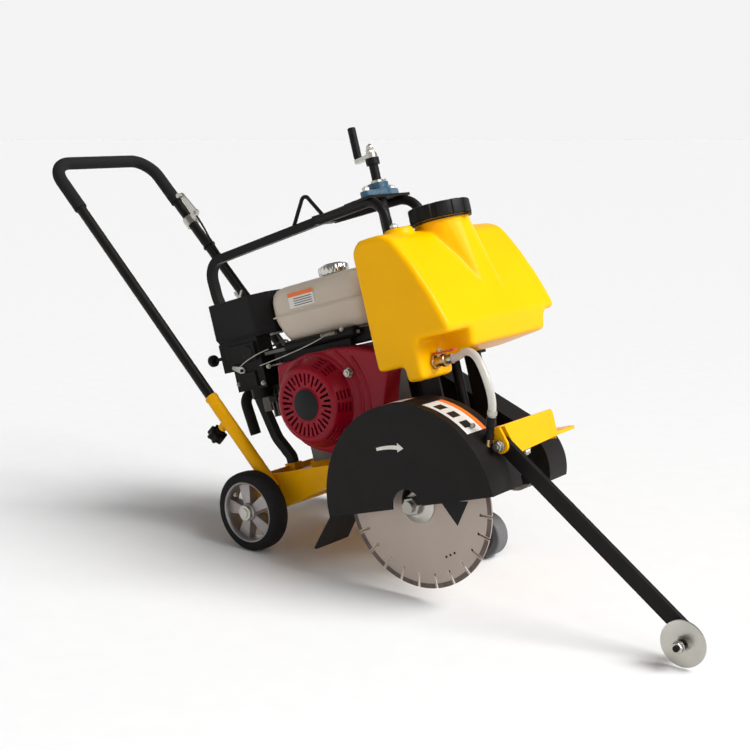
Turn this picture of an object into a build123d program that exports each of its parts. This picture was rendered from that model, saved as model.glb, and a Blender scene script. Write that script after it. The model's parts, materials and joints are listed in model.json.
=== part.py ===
from build123d import *
import math
import os

# A walk-behind concrete saw, in millimetres.
# Every piece is drawn level, as if the deck lay flat: X runs forward from the rear axle,
# Y to the left and Z up. finish() then stands it on its wheels, nose up by STANCE_TILT.

# ---- driving dimensions ----
STANCE_TILT = 16.27
MIDDLE_X = 180.92
MIDDLE_Y = -11.5

REAR_WHEEL_R = 90
REAR_WHEEL_WIDTH = 46
REAR_WHEEL_OUT = 225
TYRE_BORE_R = 69.6
REAR_AXLE_R = 10
FRONT_WHEEL_R = 50
FRONT_WHEEL_WIDTH = 40
FRONT_WHEEL_IN = 57
FRONT_AXLE_R = 8
FRONT_AXLE_X = 409
FRONT_AXLE_Z = -71
RUNNING_GAP = 0.05

DECK_Z = 146
DECK_THICK = 6
RAIL_TOP = 158
RAIL_OUT = 146
RAIL_THICK = 5
REAR_X = -48
FRONT_X = 666
LEFT_RAIL_Y = 110
LEFT_RAIL_END = 622
FLANGE_Z = 106

HANDLE_Y = 161
HANDLE_R = 12.5
HANDLE_LEAN = 60
SLEEVE_R = 15
SLEEVE_TOP = (-94.5, 359)
SLEEVE_LENGTH = 269
HANDLE_INSIDE = 130
HANDLE_REACH = 754
FOAM_R = 15.75

SPINDLE_X = 480
SPINDLE_Z = 61
ARBOR_R = 12
SPINDLE_R = 12.5
BLADE_R = 175
BLADE_Y = -216
SEGMENTS = 24
SLOT_WIDTH = 4
GUARD_R = 209
GUARD_OUT = -255
GUARD_IN = -148
SHEET = 3

CRANK_X = 212
CRANK_Z = 298
DRIVEN_R = 55
DRIVE_R = 60
BELT_GUARD_IN = 125
BELT_GUARD_OUT = 198
BELT_GUARD_FOOT = 20
SHROUD_FACE = -147
RECOIL_FACE = -185

JACK_X = 392
JACK_SCREW_R = 8
POST_R = 25
GUIDE_R = 30
PLATE_Z = 697
TANK_HALF = 205
NECK_X = 535
ARM_PIVOT = (688, 148)
ARM_LENGTH = 496
ARM_DROP = 52.3
ARM_Y = -185.5
ARM_THICK = 12
POINTER_R = 43.2


def side(y):
    """A drawing plane that faces the right-hand side at width y, with up kept up."""
    return Plane.XZ.offset(-y)


def along(start, distance):
    """A point on the line of the handle tubes, measured up from start."""
    lean = math.radians(HANDLE_LEAN)
    return (start[0] - distance * math.cos(lean), start[1] + distance * math.sin(lean))


def bar_across(x, z, radius, y0, y1, mode=Mode.ADD):
    """A round bar that runs across the saw from y0 to y1."""
    with Locations((x, (y0 + y1) / 2, z)):
        Cylinder(radius, y1 - y0, rotation=(90, 0, 0), mode=mode)


def post(x, y, radius, z0, z1, mode=Mode.ADD):
    """An upright round bar from z0 to z1."""
    with Locations((x, y, (z0 + z1) / 2)):
        Cylinder(radius, z1 - z0, mode=mode)


def block(x0, x1, y0, y1, z0, z1, mode=Mode.ADD):
    """A box between two corners."""
    with Locations(((x0 + x1) / 2, (y0 + y1) / 2, (z0 + z1) / 2)):
        Box(x1 - x0, y1 - y0, z1 - z0, mode=mode)


def bend_radii(route):
    """The largest arc that each corner of a hose route has room for."""
    radii = []
    for before, corner, after in zip(route, route[1:], route[2:]):
        run_in = Vector(corner) - Vector(before)
        run_out = Vector(after) - Vector(corner)
        turn = math.radians(run_in.get_angle(run_out))
        radii.append(0.45 * min(run_in.length, run_out.length) / math.tan(turn / 2))
    return radii


def finish(piece, name):
    """Label a piece, stand it in the saw's real attitude and write it out."""
    piece.part.label = name
    stance = Location((-MIDDLE_X, -MIDDLE_Y, REAR_WHEEL_R))
    stance = stance * Location((0, 0, 0), (0, 1, 0), -STANCE_TILT)
    stance = stance * Location((0, 0, -REAR_WHEEL_R))
    export_step(piece.part.moved(stance), f"parts/{name}.step")


os.makedirs("parts", exist_ok=True)


# ---- chassis: one weldment of deck, rails, cross plates, bearing carrier and pointer lug ----
RAIL_OUTLINE = [(REAR_X, 66), (0, 66), (80, 88), (200, 112), (FRONT_X, 112)]
RAIL_OUTLINE += [(FRONT_X, RAIL_TOP), (REAR_X, RAIL_TOP)]
REAR_OUTLINE = [(REAR_X, 66), (0, 66), (80, 88), (110, 94), (110, RAIL_TOP), (REAR_X, RAIL_TOP)]
LIP_Y = 47
LIP_LENGTH = 150
CARRIER_BOLTS = [(450, -126), (510, -126), (450, 102), (510, 102)]

with BuildPart() as chassis_frame:
    block(REAR_X, FRONT_X, -RAIL_OUT, 40, DECK_Z - DECK_THICK, DECK_Z)
    block(REAR_X, LEFT_RAIL_END, 40, LEFT_RAIL_Y, DECK_Z - DECK_THICK, DECK_Z)
    block(REAR_X, 110, LEFT_RAIL_Y, RAIL_OUT, DECK_Z - DECK_THICK, DECK_Z)
    with BuildSketch(side(-RAIL_OUT + RAIL_THICK)):
        Polygon(*RAIL_OUTLINE, align=None)
    extrude(amount=RAIL_THICK)
    with BuildSketch(side(RAIL_OUT)):
        Polygon(*REAR_OUTLINE, align=None)
    extrude(amount=RAIL_THICK)
    block(110, LEFT_RAIL_END, LEFT_RAIL_Y, LEFT_RAIL_Y + RAIL_THICK, 112, RAIL_TOP)
    block(110, 115, LEFT_RAIL_Y, RAIL_OUT, 94, RAIL_TOP)
    block(REAR_X, REAR_X + RAIL_THICK, -RAIL_OUT, RAIL_OUT, 66, RAIL_TOP)
    block(200, FRONT_X, -RAIL_OUT, -120, FLANGE_Z, 112)
    block(430, 530, -RAIL_OUT, 124, FLANGE_Z, 112)
    with BuildSketch(Plane.YZ.offset(FRONT_X)):
        Polygon((-192, 182), (38, 182), (43, 174), (43, 126), (-100, 120), (-130, 155),
                (-136, 166), (-192, 166), align=None)
    extrude(amount=6)
    with BuildSketch(Plane.XY.offset(126)):
        with Locations((FRONT_X - 30, LIP_Y)):
            RectangleRounded(72, LIP_LENGTH, 12)
    extrude(amount=7)
    block(635, FRONT_X + 6, -RAIL_OUT, 40, DECK_Z - 20, DECK_Z - DECK_THICK)
    for cheek_y in (-186, -167):
        with BuildSketch(side(cheek_y)):
            with Locations(ARM_PIVOT):
                Circle(16)
            with Locations((ARM_PIVOT[0] - 5, ARM_PIVOT[1] + 26)):
                Rectangle(22, 16)
            make_hull()
        extrude(amount=6)
    block(-54, -24, -14, 14, DECK_Z, DECK_Z + 17)
    bar_across(0, REAR_WHEEL_R, REAR_AXLE_R, -RAIL_OUT, RAIL_OUT, mode=Mode.SUBTRACT)
    bar_across(*ARM_PIVOT, 6, -200, -160, mode=Mode.SUBTRACT)
    post(JACK_X, 0, GUIDE_R, 100, DECK_Z, mode=Mode.SUBTRACT)
    for bolt_x, bolt_y in CARRIER_BOLTS:
        post(bolt_x, bolt_y, 5, FLANGE_Z - 2, 114, mode=Mode.SUBTRACT)
finish(chassis_frame, "chassis_frame")

with BuildPart() as engine_rails:
    for rail_y in (-80, 50):
        block(90, 340, rail_y, rail_y + 40, DECK_Z, DECK_Z + 20)
finish(engine_rails, "engine_rails")

with BuildPart() as tank_supports:
    for support_y in (-86, 80):
        block(458, 500, support_y, support_y + 6, DECK_Z, 330)
        block(458, 500, support_y + 6, support_y + 26, 324, 330)
finish(tank_supports, "tank_supports")

# ---- handle sleeves, welded to the outsides of the rails ----
KNOB_DOWN = 72
KNOB_AT = along(SLEEVE_TOP, -KNOB_DOWN)
SLEEVE_FOOT = along(SLEEVE_TOP, -SLEEVE_LENGTH)
KNOB_DIR = (-math.sin(math.radians(HANDLE_LEAN)), 0, -math.cos(math.radians(HANDLE_LEAN)))
HANDLE_DIR = (-math.cos(math.radians(HANDLE_LEAN)), 0, math.sin(math.radians(HANDLE_LEAN)))

with BuildPart() as handle_sleeves:
    for hand in (-1, 1):
        foot = Plane((SLEEVE_FOOT[0], hand * HANDLE_Y, SLEEVE_FOOT[1]), z_dir=HANDLE_DIR)
        knob_plane = Plane((KNOB_AT[0], hand * HANDLE_Y, KNOB_AT[1]), z_dir=KNOB_DIR)
        with BuildSketch(foot):
            Circle(SLEEVE_R)
        extrude(amount=SLEEVE_LENGTH)
        with BuildSketch(knob_plane):
            Circle(10)
        extrude(amount=SLEEVE_R + 12)
        with BuildSketch(foot):
            Circle(HANDLE_R + RUNNING_GAP)
        extrude(amount=SLEEVE_LENGTH, mode=Mode.SUBTRACT)
        with BuildSketch(knob_plane):
            Circle(4 + RUNNING_GAP)
        extrude(amount=SLEEVE_R + 12, mode=Mode.SUBTRACT)
finish(handle_sleeves, "handle_sleeves")

for hand, label in ((-1, "clamp_knob_right"), (1, "clamp_knob_left")):
    knob_plane = Plane((KNOB_AT[0], hand * HANDLE_Y, KNOB_AT[1]), z_dir=KNOB_DIR)
    with BuildPart() as clamp_knob:
        with BuildSketch(knob_plane.offset(HANDLE_R + 0.5)):
            Circle(4)
        extrude(amount=30)
        with BuildSketch(knob_plane.offset(42)):
            Circle(17)
            with PolarLocations(16.5, 7):
                Circle(5)
        extrude(amount=20)
        with BuildSketch(knob_plane.offset(34)):
            Circle(10)
        extrude(amount=8)
    finish(clamp_knob, label)

# ---- handle: one bent tube with foam over the top bar ----
TUBE_FOOT = along(SLEEVE_TOP, -HANDLE_INSIDE)
BAR = along(SLEEVE_TOP, HANDLE_REACH)
FOAM_END = along(SLEEVE_TOP, 605)

with BuildPart() as handle_frame:
    with BuildLine():
        FilletPolyline((TUBE_FOOT[0], -HANDLE_Y, TUBE_FOOT[1]), (BAR[0], -HANDLE_Y, BAR[1]),
                       (BAR[0], HANDLE_Y, BAR[1]), (TUBE_FOOT[0], HANDLE_Y, TUBE_FOOT[1]), radius=60)
    with BuildSketch(Plane((TUBE_FOOT[0], -HANDLE_Y, TUBE_FOOT[1]), z_dir=HANDLE_DIR)):
        Circle(HANDLE_R)
        Circle(HANDLE_R - 2, mode=Mode.SUBTRACT)
    sweep()
finish(handle_frame, "handle_frame")

with BuildPart() as foam_grip:
    with BuildLine():
        FilletPolyline((FOAM_END[0], -HANDLE_Y, FOAM_END[1]), (BAR[0], -HANDLE_Y, BAR[1]),
                       (BAR[0], HANDLE_Y, BAR[1]), (FOAM_END[0], HANDLE_Y, FOAM_END[1]), radius=60)
    with BuildSketch(Plane((FOAM_END[0], -HANDLE_Y, FOAM_END[1]), z_dir=HANDLE_DIR)):
        Circle(FOAM_R)
        Circle(HANDLE_R, mode=Mode.SUBTRACT)
    sweep()
finish(foam_grip, "foam_grip")

# ---- throttle clamp on the left tube, with its lever standing forward of the tube ----
CLAMP_AT = along(SLEEVE_TOP, 530)
CLAMP_PLANE = Plane((CLAMP_AT[0], HANDLE_Y, CLAMP_AT[1]), z_dir=HANDLE_DIR)
LEVER_OUT = 35
LEVER_PIVOT = (CLAMP_AT[0] - LEVER_OUT * KNOB_DIR[0], CLAMP_AT[1] - LEVER_OUT * KNOB_DIR[2])
LEVER_TIP = along(LEVER_PIVOT, 62)
LEVER_Y = 150

with BuildPart() as throttle_clamp:
    with BuildSketch(side(HANDLE_Y - 2)):
        with Locations(CLAMP_AT, LEVER_PIVOT):
            Circle(9)
        make_hull()
    extrude(amount=6)
    with BuildSketch(CLAMP_PLANE.offset(-12)):
        Circle(HANDLE_R + 5)
    extrude(amount=24)
    with BuildSketch(CLAMP_PLANE.offset(-20)):
        Circle(HANDLE_R)
    extrude(amount=40, mode=Mode.SUBTRACT)
    bar_across(*LEVER_PIVOT, 4, LEVER_Y - 6, HANDLE_Y - 4)
finish(throttle_clamp, "throttle_clamp")

with BuildPart() as throttle_lever:
    with BuildSketch(side(LEVER_Y + 2)):
        with Locations(LEVER_PIVOT):
            Circle(11)
        with Locations(LEVER_TIP):
            Circle(7)
        make_hull()
        with Locations(LEVER_PIVOT):
            Circle(4 + RUNNING_GAP, mode=Mode.SUBTRACT)
    extrude(amount=4)
    bar_across(*LEVER_TIP, 6, LEVER_Y - 16, LEVER_Y)
finish(throttle_lever, "throttle_lever")

# ---- rear axle and wheels ----
with BuildPart() as rear_axle:
    bar_across(0, REAR_WHEEL_R, REAR_AXLE_R, -REAR_WHEEL_OUT - 8, REAR_WHEEL_OUT + 8)
    for hand in (-1, 1):
        cap_y = hand * (REAR_WHEEL_OUT + 3.2)
        spacer_y = hand * 162.2
        bar_across(0, REAR_WHEEL_R, 17, cap_y - 2.5, cap_y + 2.5)
        bar_across(0, REAR_WHEEL_R, 15, spacer_y - 16, spacer_y + 16)
finish(rear_axle, "rear_axle")

for hand, word in ((-1, "right"), (1, "left")):
    near = min(hand * REAR_WHEEL_OUT, hand * (REAR_WHEEL_OUT - REAR_WHEEL_WIDTH))
    far = near + REAR_WHEEL_WIDTH
    with BuildPart() as rear_tyre:
        bar_across(0, REAR_WHEEL_R, REAR_WHEEL_R, near, far)
        fillet(rear_tyre.edges().filter_by(GeomType.CIRCLE), 8)
        bar_across(0, REAR_WHEEL_R, TYRE_BORE_R, near, far, mode=Mode.SUBTRACT)
    finish(rear_tyre, "rear_tyre_" + word)

    with BuildPart() as rear_hub:
        bar_across(0, REAR_WHEEL_R, TYRE_BORE_R, near + 1, far - 1)
        bar_across(0, REAR_WHEEL_R, TYRE_BORE_R - 6, near + 1, far - 1, mode=Mode.SUBTRACT)
        with BuildSketch(side((near + far) / 2 + 5)):
            with Locations((0, REAR_WHEEL_R)):
                Circle(TYRE_BORE_R - 3)
                with PolarLocations(42, 5):
                    Circle(14, mode=Mode.SUBTRACT)
        extrude(amount=10)
        bar_across(0, REAR_WHEEL_R, 20, near + 1, far - 1)
        bar_across(0, REAR_WHEEL_R, REAR_AXLE_R + RUNNING_GAP, near, far, mode=Mode.SUBTRACT)
    finish(rear_hub, "rear_hub_" + word)

# ---- front axle, carrier and wheels, all carried by the depth jack ----
AXLE_END = FRONT_WHEEL_IN + FRONT_WHEEL_WIDTH
with BuildPart() as front_axle:
    bar_across(FRONT_AXLE_X, FRONT_AXLE_Z, FRONT_AXLE_R, -AXLE_END - 6, AXLE_END + 6)
    for hand in (-1, 1):
        collar_y = hand * (AXLE_END + 3.5)
        bar_across(FRONT_AXLE_X, FRONT_AXLE_Z, 13, collar_y - 3, collar_y + 3)
finish(front_axle, "front_axle")

for hand, label in ((-1, "front_wheel_right"), (1, "front_wheel_left")):
    near = min(hand * FRONT_WHEEL_IN, hand * AXLE_END)
    far = near + FRONT_WHEEL_WIDTH
    with BuildPart() as front_wheel:
        bar_across(FRONT_AXLE_X, FRONT_AXLE_Z, FRONT_WHEEL_R, near, far)
        fillet(front_wheel.edges().filter_by(GeomType.CIRCLE), 5)
        for ring_at in (near, far - 8):
            bar_across(FRONT_AXLE_X, FRONT_AXLE_Z, 34, ring_at, ring_at + 8, mode=Mode.SUBTRACT)
        bar_across(FRONT_AXLE_X, FRONT_AXLE_Z, 16, near, far)
        bar_across(FRONT_AXLE_X, FRONT_AXLE_Z, FRONT_AXLE_R + RUNNING_GAP, near, far, mode=Mode.SUBTRACT)
    finish(front_wheel, label)

POST_FOOT = -50
POST_TOP = 178
with BuildPart() as axle_carrier:
    block(366, 432, -50, 50, POST_FOOT - 38, POST_FOOT)
    bar_across(FRONT_AXLE_X, FRONT_AXLE_Z, FRONT_AXLE_R, -60, 60, mode=Mode.SUBTRACT)
finish(axle_carrier, "axle_carrier")

with BuildPart() as jack_post:
    post(JACK_X, 0, POST_R, POST_FOOT, POST_TOP)
    post(JACK_X, 0, 15, POST_FOOT + 6, POST_TOP - 22, mode=Mode.SUBTRACT)
    post(JACK_X, 0, JACK_SCREW_R + RUNNING_GAP, POST_TOP - 22, POST_TOP, mode=Mode.SUBTRACT)
finish(jack_post, "jack_post")

GUIDE_FOOT = 100
GUIDE_TOP = 306
with BuildPart() as jack_guide:
    post(JACK_X, 0, GUIDE_R, GUIDE_FOOT, GUIDE_TOP)
    post(JACK_X, 0, POST_R + RUNNING_GAP, GUIDE_FOOT, GUIDE_TOP - 6, mode=Mode.SUBTRACT)
    post(JACK_X, 0, JACK_SCREW_R + 1, GUIDE_TOP - 6, GUIDE_TOP, mode=Mode.SUBTRACT)
finish(jack_guide, "jack_guide")

with BuildPart() as screw_cover:
    post(JACK_X, 0, 12.5, GUIDE_TOP, PLATE_Z)
    post(JACK_X, 0, JACK_SCREW_R + 1, GUIDE_TOP, PLATE_Z, mode=Mode.SUBTRACT)
finish(screw_cover, "screw_cover")

BEARING_TOP = 732
with BuildPart() as flange_bearing:
    with BuildSketch(Plane.XY.offset(PLATE_Z + 6)):
        with Locations((JACK_X, 0)):
            Circle(27)
        with Locations((JACK_X, -45), (JACK_X, 45)):
            Circle(14)
        make_hull()
    extrude(amount=13)
    post(JACK_X, 0, 23, PLATE_Z + 6, BEARING_TOP)
    post(JACK_X, 0, JACK_SCREW_R + RUNNING_GAP, PLATE_Z, BEARING_TOP, mode=Mode.SUBTRACT)
    for bolt_y in (-45, 45):
        post(JACK_X, bolt_y, 5, PLATE_Z, BEARING_TOP, mode=Mode.SUBTRACT)
finish(flange_bearing, "flange_bearing")

# ---- hand crank on top of the jack screw ----
ARM_BOTTOM = 788
GRIP_AT = (JACK_X - 45, 10)
with BuildPart() as jack_screw:
    post(JACK_X, 0, JACK_SCREW_R, 156, ARM_BOTTOM)
    post(JACK_X, 0, 10.3, BEARING_TOP + 1, ARM_BOTTOM)
    post(JACK_X, 0, 15, ARM_BOTTOM - 15, ARM_BOTTOM)
finish(jack_screw, "jack_screw")

with BuildPart() as crank_arm:
    with BuildSketch(Plane.XY.offset(ARM_BOTTOM)):
        with Locations((JACK_X, 0)):
            Circle(13)
        with Locations(GRIP_AT):
            Circle(9)
        make_hull()
    extrude(amount=9)
    post(*GRIP_AT, 5, ARM_BOTTOM, ARM_BOTTOM + 74)
    post(JACK_X, 0, 7, ARM_BOTTOM + 9, ARM_BOTTOM + 16)
finish(crank_arm, "crank_arm")

with BuildPart() as crank_grip:
    post(*GRIP_AT, 9, ARM_BOTTOM + 10, ARM_BOTTOM + 80)
    fillet(crank_grip.edges().filter_by(GeomType.CIRCLE), 3)
    post(*GRIP_AT, 5 + RUNNING_GAP, ARM_BOTTOM + 9, ARM_BOTTOM + 75, mode=Mode.SUBTRACT)
finish(crank_grip, "crank_grip")

# ---- roll bar with its two arch tubes and the jack plate, one weldment ----
ARCH_R = 10.75
ARCH_Z = 691
LEG_X = 443
LEG_Y = 64
ROLL_BAR = [(-39, 0, 163), (-39, 0, 178), (-72, 0, 228), (-165, 0, 592), (-168, 0, 677), (345, 0, 700)]
ROLL_BENDS = [20, 60, 100, 45]
PLATE_OUTLINE = [(330, -52), (418, -72), (418, 72), (330, 52)]

with BuildPart() as roll_bar:
    with BuildLine() as bar_line:
        FilletPolyline(*ROLL_BAR, radius=ROLL_BENDS)
    with BuildSketch(Plane(bar_line.line @ 0, z_dir=bar_line.line % 0)):
        Rectangle(20, 20)
    sweep()
    for hand in (-1, 1):
        with BuildLine() as arch_line:
            FilletPolyline((230, hand * 27, ARCH_Z), (LEG_X, hand * LEG_Y, ARCH_Z),
                           (LEG_X, hand * LEG_Y, DECK_Z + 5), radius=50)
        with BuildSketch(Plane(arch_line.line @ 0, z_dir=arch_line.line % 0)):
            Circle(ARCH_R)
        sweep()
        post(LEG_X, hand * LEG_Y, 14, DECK_Z, DECK_Z + 30)
    with BuildSketch(Plane.XY.offset(PLATE_Z)):
        Polygon(*PLATE_OUTLINE, align=None)
    extrude(amount=6)
    block(215, 245, -32, 32, 683, 703)
    post(JACK_X, 0, JACK_SCREW_R + 1, PLATE_Z - 20, PLATE_Z + 20, mode=Mode.SUBTRACT)
    for bolt_y in (-45, 45):
        post(JACK_X, bolt_y, 5, PLATE_Z, PLATE_Z + 6, mode=Mode.SUBTRACT)
finish(roll_bar, "roll_bar")

with BuildPart() as lifting_eye:
    with BuildLine() as eye_line:
        FilletPolyline((122, 0, 690), (180, 0, 764), (226, 0, 696), radius=12)
    with BuildSketch(Plane(eye_line.line @ 0, z_dir=eye_line.line % 0)):
        Circle(4.5)
    sweep()
    add(roll_bar.part, mode=Mode.SUBTRACT)
    eye_only = lifting_eye.part.solids().sort_by(Axis.Z)[-1]
with BuildPart() as lifting_eye_rod:
    add(eye_only)
finish(lifting_eye_rod, "lifting_eye")

# ---- blade drive: shaft, pillow blocks, flanges, blade, pulleys and belts ----
with BuildPart() as blade_shaft:
    bar_across(SPINDLE_X, SPINDLE_Z, SPINDLE_R, BLADE_Y - 26, 190)
    bar_across(SPINDLE_X, SPINDLE_Z, ARBOR_R, BLADE_Y - 40, BLADE_Y - 26)
finish(blade_shaft, "blade_shaft")

with BuildPart() as pillow_blocks:
    for centre_y in (-126, 111):
        block(SPINDLE_X - 46, SPINDLE_X + 46, centre_y - 13, centre_y + 13, FLANGE_Z - 14, FLANGE_Z)
        bar_across(SPINDLE_X, SPINDLE_Z, 34, centre_y - 13, centre_y + 13)
        block(SPINDLE_X - 34, SPINDLE_X + 34, centre_y - 13, centre_y + 13, SPINDLE_Z, FLANGE_Z)
        bar_across(SPINDLE_X, SPINDLE_Z, SPINDLE_R + RUNNING_GAP, centre_y - 13, centre_y + 13,
                   mode=Mode.SUBTRACT)
finish(pillow_blocks, "pillow_blocks")

with BuildPart() as blade_flanges:
    bar_across(SPINDLE_X, SPINDLE_Z, 40, BLADE_Y + 1.6, BLADE_Y + 12)
    bar_across(SPINDLE_X, SPINDLE_Z, 40, BLADE_Y - 11, BLADE_Y - 1.6)
    with BuildSketch(side(BLADE_Y - 11)):
        with Locations((SPINDLE_X, SPINDLE_Z)):
            RegularPolygon(18, 6)
    extrude(amount=15)
    bar_across(SPINDLE_X, SPINDLE_Z, SPINDLE_R, BLADE_Y - 40, BLADE_Y + 20, mode=Mode.SUBTRACT)
finish(blade_flanges, "blade_flanges")

with BuildPart() as blade_disc:
    bar_across(SPINDLE_X, SPINDLE_Z, BLADE_R, BLADE_Y - 1.6, BLADE_Y + 1.6)
    with BuildSketch(side(BLADE_Y + 2)):
        with Locations((SPINDLE_X, SPINDLE_Z)):
            Circle(SPINDLE_R)
            with PolarLocations(BLADE_R - 12, SEGMENTS):
                Rectangle(30, SLOT_WIDTH)
            with PolarLocations(BLADE_R - 27, SEGMENTS):
                Circle(3.6)
    extrude(amount=4, mode=Mode.SUBTRACT)
finish(blade_disc, "blade_disc")


def grooved(x, z, rim, y0):
    """A pulley rim with three grooves, each 11 wide and 9 deep."""
    bar_across(x, z, rim, y0, y0 + 45)
    for groove in range(3):
        start = y0 + 3 + groove * 14
        with Locations((x, start + 5.5, z)):
            Cylinder(rim, 11, rotation=(90, 0, 0), mode=Mode.SUBTRACT)
            Cylinder(rim - 9, 11, rotation=(90, 0, 0))


with BuildPart() as driven_pulley:
    grooved(SPINDLE_X, SPINDLE_Z, DRIVEN_R, 140)
    bar_across(SPINDLE_X, SPINDLE_Z, SPINDLE_R, 140, 185, mode=Mode.SUBTRACT)
finish(driven_pulley, "driven_pulley")

with BuildPart() as drive_pulley:
    grooved(CRANK_X, CRANK_Z, DRIVE_R, 140)
    bar_across(CRANK_X, CRANK_Z, SPINDLE_R, 140, 185, mode=Mode.SUBTRACT)
finish(drive_pulley, "drive_pulley")

with BuildPart() as drive_belts:
    for groove in range(3):
        belt_y = 144 + groove * 14
        for grow, mode in ((-0.5, Mode.ADD), (-8, Mode.SUBTRACT)):
            with BuildSketch(side(belt_y + 9)):
                with Locations((SPINDLE_X, SPINDLE_Z)):
                    Circle(DRIVEN_R + grow)
                with Locations((CRANK_X, CRANK_Z)):
                    Circle(DRIVE_R + grow)
                make_hull()
            extrude(amount=9, mode=mode)
finish(drive_belts, "drive_belts")

with BuildPart() as belt_guard:
    for inset, y0, y1, mode in ((0, BELT_GUARD_IN, BELT_GUARD_OUT, Mode.ADD),
                                (SHEET, BELT_GUARD_IN + SHEET, BELT_GUARD_OUT - SHEET, Mode.SUBTRACT)):
        with BuildSketch(side(y1)):
            with Locations((SPINDLE_X, SPINDLE_Z)):
                Circle(103 - inset)
            with Locations((CRANK_X, CRANK_Z)):
                Circle(85 - inset)
            make_hull()
        extrude(amount=y1 - y0, mode=mode)
    bar_across(SPINDLE_X, SPINDLE_Z, 20, BELT_GUARD_IN, BELT_GUARD_IN + SHEET, mode=Mode.SUBTRACT)
    bar_across(CRANK_X, CRANK_Z, 20, BELT_GUARD_IN, BELT_GUARD_IN + SHEET, mode=Mode.SUBTRACT)
    block(300, 600, BELT_GUARD_IN, BELT_GUARD_OUT, -50, BELT_GUARD_FOOT, mode=Mode.SUBTRACT)
finish(belt_guard, "belt_guard")

# ---- blade guard, splash flap and hose barb ----
with BuildPart() as blade_guard:
    for inset, mode in ((0, Mode.ADD), (SHEET, Mode.SUBTRACT)):
        with BuildSketch(side(GUARD_IN - inset)):
            with Locations((SPINDLE_X, SPINDLE_Z)):
                Circle(GUARD_R - inset)
            with Locations((SPINDLE_X, SPINDLE_Z - GUARD_R)):
                Rectangle(2 * GUARD_R, 2 * GUARD_R, mode=Mode.SUBTRACT)
        extrude(amount=GUARD_IN - GUARD_OUT - 2 * inset, mode=mode)
    bar_across(SPINDLE_X, SPINDLE_Z, 37, GUARD_OUT, GUARD_OUT + SHEET, mode=Mode.SUBTRACT)
    bar_across(SPINDLE_X, SPINDLE_Z, 22, GUARD_IN - SHEET, GUARD_IN, mode=Mode.SUBTRACT)
finish(blade_guard, "blade_guard")

with BuildPart() as splash_flap:
    with BuildSketch(side(GUARD_IN)):
        Polygon((SPINDLE_X - GUARD_R, SPINDLE_Z), (SPINDLE_X - GUARD_R + SHEET, SPINDLE_Z),
                (213, -3), (208, 1), align=None)
    extrude(amount=GUARD_IN - GUARD_OUT)
finish(splash_flap, "splash_flap")

BARB_FOOT = (650, 120)
BARB_TIP = (688, 206)
BARB_Y = -200
with BuildPart() as hose_barb:
    barb_way = Vector(BARB_TIP[0] - BARB_FOOT[0], 0, BARB_TIP[1] - BARB_FOOT[1])
    with BuildSketch(Plane((BARB_FOOT[0], BARB_Y, BARB_FOOT[1]), z_dir=barb_way)):
        Circle(7)
    extrude(amount=barb_way.length)
    bar_across(SPINDLE_X, SPINDLE_Z, GUARD_R, GUARD_OUT, GUARD_IN, mode=Mode.SUBTRACT)
finish(hose_barb, "hose_barb")

# ---- engine ----
with BuildPart() as engine_block:
    with BuildSketch(side(110)):
        Polygon((110, 166), (320, 166), (330, 230), (312, 400), (110, 400), align=None)
    extrude(amount=200)
    bar_across(CRANK_X, CRANK_Z, 32, 110, 118)
    bar_across(CRANK_X, CRANK_Z, SPINDLE_R + RUNNING_GAP, -95, 120, mode=Mode.SUBTRACT)
finish(engine_block, "engine_block")

with BuildPart() as engine_shaft:
    bar_across(CRANK_X, CRANK_Z, SPINDLE_R, -140, 190)
    bar_across(CRANK_X, CRANK_Z, 70, -138, -100)
finish(engine_shaft, "engine_shaft")

FIN_COUNT = 9
with BuildPart() as cylinder:
    block(-20, 110, -44, 64, 286, 424)
    for fin in range(FIN_COUNT):
        fin_x = -10 + fin * 13
        block(fin_x, fin_x + 4, -56, 76, 280, 430)
    block(-44, -20, -50, 70, 296, 414)
finish(cylinder, "cylinder")

SHROUD = [(114, 396), (101, 332), (109, 270), (146, 214), (202, 184), (258, 172), (330, 190),
          (390, 260), (419, 331), (404, 376), (335, 398), (272, 406)]
with BuildPart() as fan_shroud:
    with BuildSketch(side(-91)):
        Polygon(*SHROUD, align=None)
    extrude(amount=-91 - SHROUD_FACE)
    with BuildSketch(side(-91)):
        Polygon(*SHROUD, align=None)
        offset(amount=-SHEET, kind=Kind.INTERSECTION, mode=Mode.REPLACE)
    extrude(amount=-91 - SHROUD_FACE - SHEET, mode=Mode.SUBTRACT)
    bar_across(CRANK_X, CRANK_Z, 66, SHROUD_FACE, SHROUD_FACE + SHEET, mode=Mode.SUBTRACT)
finish(fan_shroud, "fan_shroud")

with BuildPart() as recoil_cover:
    with Locations(Location((CRANK_X, (SHROUD_FACE + RECOIL_FACE) / 2, CRANK_Z), (90, 0, 0))):
        Cone(100, 80, SHROUD_FACE - RECOIL_FACE)
    fillet(recoil_cover.edges().filter_by(GeomType.CIRCLE).sort_by(Axis.Y)[0], 8)
    with Locations(Location((CRANK_X, (SHROUD_FACE + RECOIL_FACE) / 2 + 2, CRANK_Z), (90, 0, 0))):
        Cone(96, 74, SHROUD_FACE - RECOIL_FACE - 4, mode=Mode.SUBTRACT)
    with BuildSketch(side(RECOIL_FACE + 6)):
        with Locations((CRANK_X, CRANK_Z)):
            with PolarLocations(54, 30):
                SlotOverall(26, 4)
    extrude(amount=8, mode=Mode.SUBTRACT)
finish(recoil_cover, "recoil_cover")

with BuildPart() as recoil_grip:
    block(64, 92, -142, -113, 318, 331)
    fillet(recoil_grip.edges(), 4)
    block(92, 98, -129, -125, 322, 326)
finish(recoil_grip, "recoil_grip")

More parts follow.
